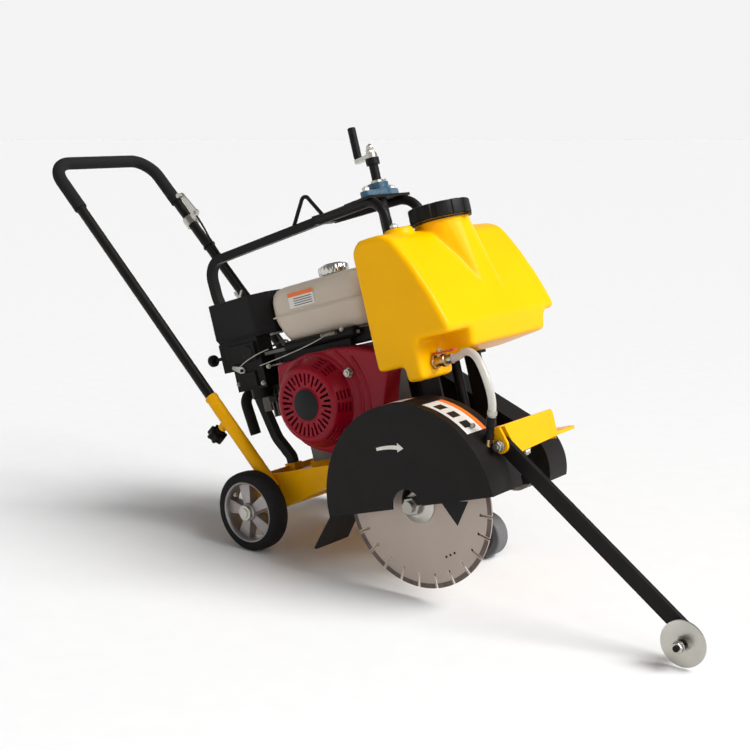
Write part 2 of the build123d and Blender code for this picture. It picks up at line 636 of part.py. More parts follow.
FUEL_X = 227
FUEL_SEAM = 500
FUEL_TOP = 564
FILLER = (233, -20)
with BuildPart() as fuel_tank:
    with BuildSketch(Plane.XY.offset(443)):
        with Locations((FUEL_X + 4, 0)):
            RectangleRounded(246, 180, 30)
    with BuildSketch(Plane.XY.offset(FUEL_SEAM - 2)):
        with Locations((FUEL_X, 0)):
            RectangleRounded(280, 210, 34)
    loft()
    with BuildSketch(Plane.XY.offset(FUEL_SEAM - 2)):
        with Locations((FUEL_X, 0)):
            RectangleRounded(290, 220, 38)
    extrude(amount=4)
    with BuildSketch(Plane.XY.offset(FUEL_SEAM + 2)):
        with Locations((FUEL_X, 0)):
            RectangleRounded(280, 210, 34)
    extrude(amount=FUEL_TOP - FUEL_SEAM - 2)
    fillet(fuel_tank.faces().sort_by(Axis.Z)[-1].edges(), 16)
    post(*FILLER, 26, FUEL_TOP - 6, FUEL_TOP + 13)
    block(105, 352, -85, 85, 455, FUEL_TOP - 8, mode=Mode.SUBTRACT)
    post(*FILLER, 22, FUEL_TOP - 15, FUEL_TOP + 13, mode=Mode.SUBTRACT)
finish(fuel_tank, "fuel_tank")

with BuildPart() as fuel_cap:
    post(*FILLER, 35, FUEL_TOP + 4, FUEL_TOP + 28)
    fillet(fuel_cap.edges().filter_by(GeomType.CIRCLE).sort_by(Axis.Z)[-1], 6)
    post(*FILLER, 27, FUEL_TOP + 4, FUEL_TOP + 15, mode=Mode.SUBTRACT)
finish(fuel_cap, "fuel_cap")

WING_NUT = (-35, -58)
with BuildPart() as air_cleaner:
    with BuildSketch(Plane.XY.offset(472)):
        Polygon((-94, -110), (42, -110), (78, -77), (78, 50), (-94, 50), align=None)
    extrude(amount=97)
    fillet(air_cleaner.edges().filter_by(Axis.Z), 10)
    fillet(air_cleaner.faces().sort_by(Axis.Z)[-1].edges(), 6)
    post(*WING_NUT, 8, 567, 576)
    block(WING_NUT[0] - 14, WING_NUT[0] + 14, WING_NUT[1] - 3, WING_NUT[1] + 3, 576, 588)
finish(air_cleaner, "air_cleaner")

CHOKE_AT = (-29, 402)
STOP_Y = -90
STOP_Z = 440
with BuildPart() as carburettor:
    block(-60, 34, -104, -58, 354, 472)
    bar_across(*CHOKE_AT, 4, -112, -104)
    block(-92, -60, -104, -70, 404, 472)
    with Locations((-70, STOP_Y, STOP_Z)):
        Cylinder(4 + RUNNING_GAP, 60, rotation=(0, 90, 0), mode=Mode.SUBTRACT)
finish(carburettor, "carburettor")

with BuildPart() as choke_lever:
    with BuildSketch(side(-105)):
        with Locations(CHOKE_AT):
            Circle(8)
        with Locations((CHOKE_AT[0] - 26, CHOKE_AT[1] + 10)):
            Circle(4.5)
        make_hull()
        with Locations(CHOKE_AT):
            Circle(4 + RUNNING_GAP, mode=Mode.SUBTRACT)
    extrude(amount=4)
finish(choke_lever, "choke_lever")

with BuildPart() as stop_knob:
    with Locations((-134, STOP_Y, STOP_Z)):
        Cylinder(14, 15, rotation=(0, 90, 0))
        fillet(stop_knob.edges().filter_by(GeomType.CIRCLE), 4)
    with Locations((-90, STOP_Y, STOP_Z)):
        Cylinder(4, 78, rotation=(0, 90, 0))
finish(stop_knob, "stop_knob")

TAIL_R = 13
with BuildPart() as muffler:
    block(-40, 90, 82, 140, 330, 436)
    fillet(muffler.edges(), 14)
    with BuildLine() as tail_line:
        FilletPolyline((-30, 110, 350), (-64, 110, 350), (-72, 0, 350), (-92, -60, 348),
                       (-80, -60, 249), radius=30)
    with BuildSketch(Plane(tail_line.line @ 0, z_dir=tail_line.line % 0)):
        Circle(TAIL_R)
        Circle(TAIL_R - 1.5, mode=Mode.SUBTRACT)
    sweep()
finish(muffler, "muffler")

# ---- water tank, cap, valve and hose ----
TANK = [(440, 332), (440, 583), (460, 603), (520, 603), (548, 588), (583, 529), (615, 460),
        (638, 395), (634, 383), (626, 345), (505, 330)]
TANK_INSIDE = [(466, 342), (466, 578), (480, 594), (517, 594), (541, 581), (575, 524),
               (605, 457), (626, 393), (616, 353), (505, 340)]
TANK_INSIDE_Y = (-106, 155)
RECESS_X = 552
RECESS_Y = -122
with BuildPart() as water_tank:
    with BuildSketch(side(TANK_HALF)):
        Polygon(*TANK, align=None)
    extrude(amount=2 * TANK_HALF)
    block(512, RECESS_X, -TANK_HALF, -90, 301, 345)
    block(RECESS_X, 650, -TANK_HALF, RECESS_Y, 290, 381, mode=Mode.SUBTRACT)
    block(430, 650, 165, TANK_HALF, 290, 386, mode=Mode.SUBTRACT)
    block(430, 456, -92, 92, 290, 620, mode=Mode.SUBTRACT)
    post(NECK_X, 0, 58, 560, 630)
    with BuildSketch(side(TANK_INSIDE_Y[1])):
        Polygon(*TANK_INSIDE, align=None)
    extrude(amount=TANK_INSIDE_Y[1] - TANK_INSIDE_Y[0], mode=Mode.SUBTRACT)
    post(NECK_X, 0, 51, 578, 630, mode=Mode.SUBTRACT)
finish(water_tank, "water_tank")

with BuildPart() as tank_cap:
    post(NECK_X, 0, 66, 618, 650)
    post(NECK_X, 0, 59.5, 618, 642, mode=Mode.SUBTRACT)
finish(tank_cap, "tank_cap")

VALVE_X = 569
VALVE_Y = -158
VALVE_Z = 330
HOSE_R = 8
HOSE = [(590, VALVE_Y, VALVE_Z), (613, VALVE_Y, VALVE_Z), (647, -177, 341), (681, -193, 327),
        (697, -199, 275), (698, BARB_Y, 228.632), (688, BARB_Y, 206)]
with BuildPart() as water_valve:
    with Locations(((RECESS_X + 586) / 2, VALVE_Y, VALVE_Z)):
        Cylinder(11, 586 - RECESS_X, rotation=(0, 90, 0))
    with Locations((586, VALVE_Y, VALVE_Z)):
        Cylinder(8, 8, rotation=(0, 90, 0))
    post(VALVE_X, VALVE_Y, 7, VALVE_Z, VALVE_Z + 14.5)
    post(VALVE_X, VALVE_Y, 4, VALVE_Z, VALVE_Z + 22)
finish(water_valve, "water_valve")

with BuildPart() as valve_lever:
    block(VALVE_X - 12, VALVE_X + 40, VALVE_Y - 7, VALVE_Y + 7, VALVE_Z + 15, VALVE_Z + 19)
    post(VALVE_X, VALVE_Y, 4 + RUNNING_GAP, VALVE_Z + 10, VALVE_Z + 30, mode=Mode.SUBTRACT)
finish(valve_lever, "valve_lever")

with BuildPart() as water_hose:
    with BuildLine() as hose_line:
        FilletPolyline(*HOSE, radius=bend_radii(HOSE))
    with BuildSketch(Plane(hose_line.line @ 0, z_dir=hose_line.line % 0)):
        Circle(HOSE_R)
    sweep()
finish(water_hose, "water_hose")

# ---- pointer arm and wheel ----
DROP = math.radians(ARM_DROP)
ARM_WAY = (math.cos(DROP), -math.sin(DROP))
WHEEL_AT = (ARM_PIVOT[0] + ARM_LENGTH * ARM_WAY[0], ARM_PIVOT[1] + ARM_LENGTH * ARM_WAY[1])
with BuildPart() as pointer_arm:
    with BuildSketch(side(ARM_Y + ARM_THICK)):
        with Locations(ARM_PIVOT, WHEEL_AT):
            Circle(15)
        make_hull()
        with Locations(ARM_PIVOT):
            Circle(6 + RUNNING_GAP, mode=Mode.SUBTRACT)
    extrude(amount=ARM_THICK)
    bar_across(*WHEEL_AT, 6, -247, ARM_Y)
    with BuildSketch(side(-228)):
        with Locations(WHEEL_AT):
            RegularPolygon(11, 6)
    extrude(amount=8)
    bar_across(*WHEEL_AT, 10, -206, ARM_Y)
finish(pointer_arm, "pointer_arm")

with BuildPart() as pointer_wheel:
    bar_across(*WHEEL_AT, POINTER_R, BLADE_Y - 2, BLADE_Y + 2)
    bar_across(*WHEEL_AT, 14, BLADE_Y - 9, BLADE_Y + 9)
    bar_across(*WHEEL_AT, 6 + RUNNING_GAP, BLADE_Y - 12, BLADE_Y + 12, mode=Mode.SUBTRACT)
finish(pointer_wheel, "pointer_wheel")

# ---- fasteners: bearing bolts, jack bearing bolts and the pointer bolt ----
with BuildPart() as frame_bolts:
    for bolt_y in (-45, 45):
        post(JACK_X, bolt_y, 5, PLATE_Z, PLATE_Z + 19)
        with BuildSketch(Plane.XY.offset(PLATE_Z + 19)):
            with Locations((JACK_X, bolt_y)):
                RegularPolygon(9, 6)
        extrude(amount=7)
    for bolt_x, bolt_y in CARRIER_BOLTS:
        post(bolt_x, bolt_y, 5, FLANGE_Z, 112)
        post(bolt_x, bolt_y, 7.5, 112, 118)
    bar_across(*ARM_PIVOT, 6, -198, -160)
    bar_across(*ARM_PIVOT, 11, -198, -192)
    bar_across(*ARM_PIVOT, 11, -167, -160)
finish(frame_bolts, "frame_bolts")
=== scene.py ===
import json
import math

import bmesh
import bpy
from mathutils import Matrix, Vector


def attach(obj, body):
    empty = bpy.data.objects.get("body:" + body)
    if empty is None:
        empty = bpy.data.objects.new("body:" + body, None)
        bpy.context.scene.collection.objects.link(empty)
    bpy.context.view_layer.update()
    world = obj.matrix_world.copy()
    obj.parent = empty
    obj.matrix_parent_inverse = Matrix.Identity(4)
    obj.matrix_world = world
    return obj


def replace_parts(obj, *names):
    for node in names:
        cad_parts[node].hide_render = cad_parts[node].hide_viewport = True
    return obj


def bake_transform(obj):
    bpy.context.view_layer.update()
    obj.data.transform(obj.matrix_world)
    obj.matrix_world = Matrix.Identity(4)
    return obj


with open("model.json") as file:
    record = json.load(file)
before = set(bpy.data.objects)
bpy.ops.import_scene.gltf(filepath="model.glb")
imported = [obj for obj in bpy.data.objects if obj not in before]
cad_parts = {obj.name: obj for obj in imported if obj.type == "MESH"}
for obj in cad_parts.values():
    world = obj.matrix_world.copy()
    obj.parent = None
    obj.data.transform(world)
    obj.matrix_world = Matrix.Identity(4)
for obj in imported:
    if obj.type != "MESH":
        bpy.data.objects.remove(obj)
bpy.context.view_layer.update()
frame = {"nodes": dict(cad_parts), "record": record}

# Lengths are in millimetres in the saw's level frame: X forward from the rear axle,
# Y left, Z up, as if the deck lay flat. STANCE stands it nose up and turns it into metres.
TILT = math.radians(16.27)
MIDDLE_X = 180.92
MIDDLE_Y = -11.5
AXLE_Z = 90
STANCE = (Matrix.Scale(0.001, 4) @ Matrix.Translation((-MIDDLE_X, -MIDDLE_Y, AXLE_Z))
          @ Matrix.Rotation(-TILT, 4, "Y") @ Matrix.Translation((0, 0, -AXLE_Z)))

SPINDLE = (480, 61)
CRANK = (212, 298)
BLADE_R = 175
BLADE_Y = -216
GUARD_R = 209
GUARD_OUT = -255
JACK_X = 392
FLANGE_TOP = 716
HANDLE_Y = 161
NECK_X = 535
NECK_R = 59
CAP_R = 65.9
TANK_HALF = 205
TANK_BACK = 440
FILLER = (233, -20)
WING_NUT = (-35, -58)
SHROUD_FACE = -143
COVER_BASE = -147
VALVE = (569, -158, 330)
VALVE_BASE = 552.5
BARB = (688, -200, 206)
ARM_PIVOT = (688, 148)
ARM_DROP = math.radians(52.3)
WHEEL_AT = (ARM_PIVOT[0] + 496 * math.cos(ARM_DROP), ARM_PIVOT[1] - 496 * math.sin(ARM_DROP))


# ---------------------------------------------------------------- materials
def socket(node, name, value):
    node.inputs[name].default_value = value


def noise(mat, place, scale, detail):
    """A noise texture in the piece's own space."""
    texture = mat.node_tree.nodes.new("ShaderNodeTexNoise")
    socket(texture, "Scale", scale)
    socket(texture, "Detail", detail)
    mat.node_tree.links.new(place.outputs["Object"], texture.inputs["Vector"])
    return texture


def surface(name, colour, rough=0.5, metal=0.0, coat=0.0, vary=0.12, vary_scale=18.0,
            bump=0.0, bump_scale=400.0, dirt=0.0, dirt_colour=(0.1, 0.08, 0.06), shine=0.5):
    """A procedural material: broad colour drift, fine grain, and dust or wear in patches."""
    mat = bpy.data.materials.new(name)
    mat.use_nodes = True
    nodes = mat.node_tree.nodes
    links = mat.node_tree.links
    shader = nodes["Principled BSDF"]
    socket(shader, "Metallic", metal)
    socket(shader, "Coat Weight", coat)
    socket(shader, "Coat Roughness", 0.12)
    socket(shader, "Specular IOR Level", shine)
    place = nodes.new("ShaderNodeTexCoord")
    drift = noise(mat, place, vary_scale, 5.0)
    tones = nodes.new("ShaderNodeValToRGB")
    tones.color_ramp.elements[0].position = 0.3
    tones.color_ramp.elements[1].position = 0.72
    tones.color_ramp.elements[0].color = [c * (1 - vary) for c in colour] + [1]
    tones.color_ramp.elements[1].color = [min(1.0, c * (1 + vary)) for c in colour] + [1]
    links.new(drift.outputs["Fac"], tones.inputs["Fac"])
    shade = tones.outputs["Color"]
    if dirt > 0:
        patches = noise(mat, place, 55.0, 8.0)
        socket(patches, "Roughness", 0.7)
        mask = nodes.new("ShaderNodeMapRange")
        socket(mask, "From Min", 0.55)
        socket(mask, "From Max", 0.75)
        socket(mask, "To Max", dirt)
        links.new(patches.outputs["Fac"], mask.inputs["Value"])
        mix = nodes.new("ShaderNodeMix")
        mix.data_type = "RGBA"
        links.new(mask.outputs["Result"], mix.inputs["Factor"])
        links.new(shade, mix.inputs["A"])
        mix.inputs["B"].default_value = (*dirt_colour, 1)
        shade = mix.outputs["Result"]
    links.new(shade, shader.inputs["Base Color"])
    gloss = nodes.new("ShaderNodeMapRange")
    socket(gloss, "To Min", max(0.02, rough - 0.08))
    socket(gloss, "To Max", min(1.0, rough + 0.1))
    links.new(drift.outputs["Fac"], gloss.inputs["Value"])
    links.new(gloss.outputs["Result"], shader.inputs["Roughness"])
    if bump > 0:
        grain = noise(mat, place, bump_scale, 3.0)
        relief = nodes.new("ShaderNodeBump")
        socket(relief, "Strength", bump)
        socket(relief, "Distance", 0.001)
        links.new(grain.outputs["Fac"], relief.inputs["Height"])
        links.new(relief.outputs["Normal"], shader.inputs["Normal"])
    return mat


def clear_plastic(name, tint):
    """Soft clear vinyl, slightly milky."""
    mat = surface(name, tint, rough=0.12, vary=0.04)
    shader = mat.node_tree.nodes["Principled BSDF"]
    socket(shader, "Transmission Weight", 0.3)
    socket(shader, "IOR", 1.45)
    socket(shader, "Alpha", 0.8)
    return mat


LOOK = {
    "frame_yellow": surface("powder_yellow", (0.84, 0.40, 0.0), 0.34, vary=0.05,
                            bump=0.15, bump_scale=700, dirt=0.06, shine=0.12),
    "tank_yellow": surface("tank_yellow", (0.92, 0.455, 0.0), 0.3, vary=0.03,
                           vary_scale=6, bump=0.05, bump_scale=260, shine=0.1),
    "black_coat": surface("powder_black", (0.008, 0.0068, 0.0064), 0.4, vary=0.2,
                          bump=0.25, bump_scale=900, dirt=0.02, shine=0.14),
    "black_plastic": surface("moulded_black", (0.008, 0.0072, 0.007), 0.42, vary=0.15, bump=0.3,
                             bump_scale=1200, dirt=0.03, shine=0.14),
    "foam": surface("foam_black", (0.007, 0.0065, 0.0065), 0.8, vary=0.25, bump=0.8,
                    bump_scale=1500, shine=0.25),
    "tyre": surface("tyre_rubber", (0.011, 0.010, 0.010), 0.7, vary=0.25, bump=0.4,
                    bump_scale=600, dirt=0.2, dirt_colour=(0.04, 0.034, 0.03), shine=0.14),
    "wheel_alloy": surface("cast_alloy", (0.36, 0.33, 0.32), 0.42, metal=0.85, vary=0.15,
                           bump=0.3, bump_scale=500, dirt=0.2),
    "zinc": surface("zinc_plate", (0.50, 0.49, 0.44), 0.3, metal=1.0, vary=0.14, bump=0.15,
                    bump_scale=350),
    "steel": surface("machined_steel", (0.40, 0.38, 0.35), 0.32, metal=1.0, vary=0.18, bump=0.12,
                     bump_scale=800),
    "blade_steel": surface("blade_steel", (0.45, 0.375, 0.32), 0.5, metal=0.35, vary=0.06,
                           vary_scale=9, bump=0.1, bump_scale=1500),
    "bearing_blue": surface("bearing_paint", (0.010, 0.075, 0.135), 0.34, coat=0.2, vary=0.15,
                            bump=0.5, bump_scale=220, dirt=0.1),
    "shroud_red": surface("shroud_red", (0.27, 0.002, 0.014), 0.28, vary=0.08,
                          bump=0.05, bump_scale=300, shine=0.2),
    "fuel_cream": surface("tank_cream", (0.56, 0.48, 0.385), 0.38, coat=0.1, vary=0.05,
                          vary_scale=7, bump=0.08, bump_scale=300, dirt=0.05),
    "chrome": surface("chrome", (0.62, 0.6, 0.57), 0.12, metal=1.0, vary=0.1),
    "engine_alloy": surface("engine_castings", (0.15, 0.135, 0.125), 0.5, metal=0.7, vary=0.22,
                            bump=0.6, bump_scale=300, dirt=0.3),
    "muffler_black": surface("hot_black", (0.013, 0.011, 0.010), 0.62, vary=0.3, bump=0.4,
                             bump_scale=500, dirt=0.12, dirt_colour=(0.06, 0.035, 0.02),
                             shine=0.14),
    "roller_grey": surface("roller_grey", (0.12, 0.12, 0.125), 0.6, vary=0.12, bump=0.3,
                           bump_scale=500, dirt=0.1),
    "brass": surface("brass", (0.50, 0.36, 0.18), 0.28, metal=1.0, vary=0.2, bump=0.15),
    "valve_red": surface("lever_red", (0.5, 0.02, 0.012), 0.4, coat=0.2, vary=0.1, bump=0.1),
    "clear_hose": clear_plastic("clear_hose", (0.72, 0.69, 0.64)),
    "belt_rubber": surface("belt_rubber", (0.010, 0.010, 0.010), 0.75, vary=0.2, bump=0.4,
                           shine=0.14),
    "flap_rubber": surface("flap_rubber", (0.011, 0.009, 0.009), 0.55, vary=0.2, bump=0.3,
                           bump_scale=500, dirt=0.06, shine=0.14),
    "segment": surface("diamond_segment", (0.15, 0.115, 0.1), 0.7, metal=0.3, vary=0.25,
                       vary_scale=60, bump=0.8, bump_scale=900),
    "label_white": surface("label_white", (0.7, 0.68, 0.63), 0.4, vary=0.05),
    "label_orange": surface("label_orange", (0.8, 0.16, 0.015), 0.4, vary=0.05),
    "label_black": surface("label_black", (0.012, 0.011, 0.011), 0.4, vary=0.05, shine=0.14),
    # Painted shade: a near-black finish for the disc seen through the grille slots. It stands in
    # for the shadowed inside of the cover.
    "painted_shade_inside": surface("painted_shade_inside", (0.004, 0.004, 0.004), 0.9, vary=0.1, shine=0.1),
}


def level_point(x, y, z):
    return STANCE @ Vector((x, y, z))


def to_object(bm, name, look, body, smooth=32):
    """A finished mesh becomes a piece that rides on a body."""
    bm.transform(STANCE)
    bmesh.ops.remove_doubles(bm, verts=bm.verts, dist=1e-7)
    bmesh.ops.recalc_face_normals(bm, faces=bm.faces)
    mesh = bpy.data.meshes.new(name)
    bm.to_mesh(mesh)
    bm.free()
    mesh.materials.append(LOOK[look])
    if smooth:
        mesh.shade_smooth()
        mesh.set_sharp_from_angle(angle=math.radians(smooth))
    piece = bpy.data.objects.new(name, mesh)
    bpy.context.scene.collection.objects.link(piece)
    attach(piece, body)
    return piece


def soften(piece, width):
    """Rounded edges on sheet metal and castings."""
    bevel = piece.modifiers.new("edges", "BEVEL")
    bevel.width = width * 0.001
    bevel.segments = 2
    bevel.limit_method = "ANGLE"
    bevel.angle_limit = math.radians(35)
    bevel.harden_normals = False
    return piece


def applied(piece):
    """Bakes a piece's modifiers into its mesh."""
    bpy.context.view_layer.update()
    graph = bpy.context.evaluated_depsgraph_get()
    mesh = bpy.data.meshes.new_from_object(piece.evaluated_get(graph))
    piece.modifiers.clear()
    piece.data = mesh
    return piece


def on_circle(centre, radius, a):
    """The two coordinates, in a flat view, of a point on a circle."""
    return centre[0] + radius * math.cos(a), centre[1] + radius * math.sin(a)


def sweep_angles(start, stop, steps):
    """Angles in radians from start to stop, given in degrees."""
    start, stop = math.radians(start), math.radians(stop)
    return [start + (stop - start) * k / steps for k in range(steps + 1)]


def join_rings(bm, rings):
    """Quads between each ring of points and the next."""
    for one, two in zip(rings, rings[1:]):
        count = len(one)
        for i in range(count):
            j = (i + 1) % count
            bm.faces.new((one[i], one[j], two[j], two[i]))


def add_bar(bm, rows):
    """A bar given by its cross-sections, with both ends closed."""
    join_rings(bm, rows)
    bm.faces.new(rows[0])
    bm.faces.new(list(reversed(rows[-1])))


def add_hull(bm, corners):
    """A box given by its 8 corners: 4 of one end, then 4 of the other."""
    verts = [bm.verts.new(c) for c in corners]
    for quad in ((0, 1, 2, 3), (7, 6, 5, 4), (0, 4, 5, 1), (1, 5, 6, 2), (2, 6, 7, 3),
                 (3, 7, 4, 0)):
        bm.faces.new([verts[i] for i in quad])


def add_prism(bm, outline, y0, y1):
    """A side-view outline of (x, z) points pushed across the saw."""
    near = [bm.verts.new((x, y0, z)) for x, z in outline]
    far = [bm.verts.new((x, y1, z)) for x, z in outline]
    bm.faces.new(near)
    bm.faces.new(list(reversed(far)))
    count = len(outline)
    for i in range(count):
        j = (i + 1) % count
        bm.faces.new((near[j], near[i], far[i], far[j]))


def add_plan(bm, outline, z0, z1):
    """A plan outline of (x, y) points pushed upward."""
    low = [bm.verts.new((x, y, z0)) for x, y in outline]
    high = [bm.verts.new((x, y, z1)) for x, y in outline]
    bm.faces.new(low)
    bm.faces.new(list(reversed(high)))
    count = len(outline)
    for i in range(count):
        j = (i + 1) % count
        bm.faces.new((low[j], low[i], high[i], high[j]))


def add_box(bm, low, high):
    add_plan(bm, [(low[0], low[1]), (high[0], low[1]), (high[0], high[1]), (low[0], high[1])],
             low[2], high[2])


def frame_at(centre, way):
    """A matrix at centre whose Z points along way."""
    if isinstance(way, str):
        way = {"x": (1, 0, 0), "y": (0, 1, 0), "z": (0, 0, 1)}[way]
    turn = Vector(way).to_track_quat("Z", "Y").to_matrix().to_4x4()
    return Matrix.Translation(centre) @ turn


def circle(radius, height, steps):
    """Points round the Z axis at a height."""
    turns = [2 * math.pi * i / steps for i in range(steps)]
    return [Vector((radius * math.cos(a), radius * math.sin(a), height)) for a in turns]


def add_lathe(bm, profile, centre, way, steps=96, closed=False):
    """Turns (radius, height) points about an axis through centre."""
    place = frame_at(centre, way)
    rings = []
    for radius, height in profile:
        if radius < 1e-6:
            rings.append([bm.verts.new(place @ Vector((0, 0, height)))])
            continue
        rings.append([bm.verts.new(place @ p) for p in circle(radius, height, steps)])
    pairs = list(zip(rings, rings[1:]))
    if closed:
        pairs.append((rings[-1], rings[0]))
    for one, two in pairs:
        for i in range(steps):
            j = (i + 1) % steps
            if len(one) == 1 and len(two) == 1:
                break
            if len(one) == 1:
                bm.faces.new((one[0], two[i], two[j]))
            elif len(two) == 1:
                bm.faces.new((one[i], one[j], two[0]))
            else:
                bm.faces.new((one[i], one[j], two[j], two[i]))


def lathe(name, profile, centre, way, look, body, steps=96, closed=False, smooth=32):
    bm = bmesh.new()
    add_lathe(bm, profile, centre, way, steps, closed)
    return to_object(bm, name, look, body, smooth=smooth)


def rod_profile(radius, length, edge=0.6):
    return [(0, 0), (radius - edge, 0), (radius, edge), (radius, length - edge),
            (radius - edge, length), (0, length)]


def add_hex(bm, centre, way, across, height):
    """A hexagon nut or bolt head with a chamfered crown."""
    place = frame_at(centre, way)
    corner = across / math.sqrt(3)
    rings = []
    for scale, at in ((0.93, 0), (1.0, height * 0.12), (1.0, height * 0.8), (0.88, height)):
        rings.append([bm.verts.new(place @ p) for p in circle(corner * scale, at, 6)])
    bm.faces.new(rings[0])
    bm.faces.new(list(reversed(rings[-1])))
    for one, two in zip(rings, rings[1:]):
        for i in range(6):
            j = (i + 1) % 6
            bm.faces.new((one[j], one[i], two[i], two[j]))


def bolts(name, places, way, across, height, look, body, washer=True):
    """Hexagon heads on washers at several places."""
    bm = bmesh.new()
    for centre in places:
        base = Vector(centre)
        normal = frame_at((0, 0, 0), way).to_3x3() @ Vector((0, 0, 1))
        if washer:
            add_lathe(bm, rod_profile(across * 0.62, 1.6, 0.3), base, way, 32)
            base = base + normal * 1.6
        add_hex(bm, base, way, across, height)
        add_lathe(bm, rod_profile(across * 0.27, height + 2.5, 0.6), base, way, 20)
    return to_object(bm, name, look, body)


def tube(name, points, radius, look, body):
    """A cable or hose along a smooth curve through level-frame control points."""
    curve = bpy.data.curves.new(name, "CURVE")
    curve.dimensions = "3D"
    curve.bevel_depth = radius * 0.001
    curve.bevel_resolution = 6
    curve.resolution_u = 12
    curve.use_fill_caps = True
    spline = curve.splines.new("NURBS")
    spline.points.add(len(points) - 1)
    for point, place in zip(spline.points, points):
        point.co = (*level_point(*place), 1)
    spline.order_u = 3
    spline.use_endpoint_u = True
    curve.materials.append(LOOK[look])
    piece = bpy.data.objects.new(name, curve)
    bpy.context.scene.collection.objects.link(piece)
    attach(piece, body)
    return piece


def melted(piece, voxel, passes, look):
    """Fuses what is in a piece into one skin, then melts it to round its edges."""
    remesh = piece.modifiers.new("skin", "REMESH")
    remesh.mode = "VOXEL"
    remesh.voxel_size = voxel * 0.001
    melt = piece.modifiers.new("melt", "SMOOTH")
    melt.factor = 0.5
    melt.iterations = passes
    applied(piece)
    piece.data.shade_smooth()
    if not piece.data.materials:
        piece.data.materials.append(LOOK[look])
    return piece


def moulded(name, build, voxel, passes, look, body):
    """A blow-moulded or cast shape made from plain prisms."""
    bm = bmesh.new()
    build(bm)
    return melted(to_object(bm, name, look, body, smooth=0), voxel, passes, look)


def cut(piece, tool):
    """Takes one mesh away from another."""
    boolean = piece.modifiers.new("cut", "BOOLEAN")
    boolean.operation = "DIFFERENCE"
    boolean.solver = "EXACT"
    boolean.object = tool
    applied(piece)
    bpy.data.objects.remove(tool, do_unlink=True)
    piece.data.shade_smooth()
    piece.data.set_sharp_from_angle(angle=math.radians(32))
    return piece


def loose(bm, name):
    """A cutting tool that never shows."""
    bm.transform(STANCE)
    bmesh.ops.recalc_face_normals(bm, faces=bm.faces)
    mesh = bpy.data.meshes.new(name)
    bm.to_mesh(mesh)
    bm.free()
    tool = bpy.data.objects.new(name, mesh)
    bpy.context.scene.collection.objects.link(tool)
    return tool


# ---------------------------------------------------------------- CAD nodes keep their shape
EDGE = {"chassis_frame": 1.2, "engine_rails": 1.2, "tank_supports": 1.0, "roll_bar": 1.2,
        "blade_guard": 0.7, "belt_guard": 2.0, "jack_guide": 0.8, "axle_carrier": 1.5,
        "pillow_blocks": 2.5, "flange_bearing": 1.8, "crank_arm": 1.4, "pointer_arm": 1.0,
        "clamp_knob_right": 2.0, "clamp_knob_left": 2.0, "throttle_clamp": 0.8,
        "throttle_lever": 0.6, "valve_lever": 0.5, "choke_lever": 0.4, "engine_block": 4.0,
        "cylinder": 1.0, "carburettor": 3.0, "splash_flap": 1.2, "stop_knob": 0.6,
        "handle_sleeves": 0.6, "screw_cover": 0.5, "lifting_eye": 0.4, "jack_screw": 0.8}
node_slot = {entry["node"]: entry["material_slot"] for entry in frame["record"]["subparts"]}
for node, part in frame["nodes"].items():
    part.data.materials.clear()
    part.data.materials.append(LOOK[node_slot[node]])
    part.data.shade_smooth()
    part.data.set_sharp_from_angle(angle=math.radians(30))
    if node in EDGE:
        soften(part, EDGE[node])


# ---------------------------------------------------------------- water tank
TANK = [(TANK_BACK, 332), (TANK_BACK, 583), (460, 603), (520, 603), (548, 588), (583, 529),
        (615, 460), (638, 395), (634, 383), (626, 345), (505, 330)]


def tank_box(bm):
    """The tank without its neck: full width above, with a step on each side below."""
    add_prism(bm, [(456, 332), (456, 601)] + TANK[2:], -122, 165)
    add_prism(bm, TANK, 92, 165)
    add_prism(bm, [(TANK_BACK, 386)] + TANK[1:8] + [(635, 386)], 150, TANK_HALF)
    add_prism(bm, TANK[1:8] + [(634, 381), (552, 381), (552, 335), TANK[0]], -TANK_HALF, -92)
    add_prism(bm, [(508, 300), (552, 300), (552, 400), (508, 400)], -TANK_HALF, -92)


def tank_neck(bm):
    """The filler neck, the nose that runs down from it, and the raised bolt boss."""
    add_lathe(bm, [(0, 0), (NECK_R, 0), (NECK_R, 70), (0, 70)], (NECK_X, 0, 560), "z", 64)
    nose = [bm.verts.new((NECK_X + NECK_R * math.cos(a), NECK_R * math.sin(a), z))
            for z in (575, 606) for a in [math.pi * k / 12 for k in range(24)]]
    for low_y, low_z, ridge_x in ((-14, 452, 614), (50, 417, 626)):
        nose += [bm.verts.new((x, low_y, low_z)) for x in (ridge_x, 540)]
    bmesh.ops.convex_hull(bm, input=nose)
    add_lathe(bm, [(0, 0), (34, 0), (30, 30), (26, 33), (0, 33)], (505, -115, 580), "z", 48)


def water_tank():
    skin = moulded("water_tank_skin", tank_box, 4.0, 34, "tank_yellow", "root")
    bm = bmesh.new()
    tank_neck(bm)
    bm.transform(STANCE)
    bm.from_mesh(skin.data)
    bm.to_mesh(skin.data)
    bm.free()
    melted(skin, 3.5, 8, "tank_yellow")
    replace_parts(skin, "water_tank")


water_tank()


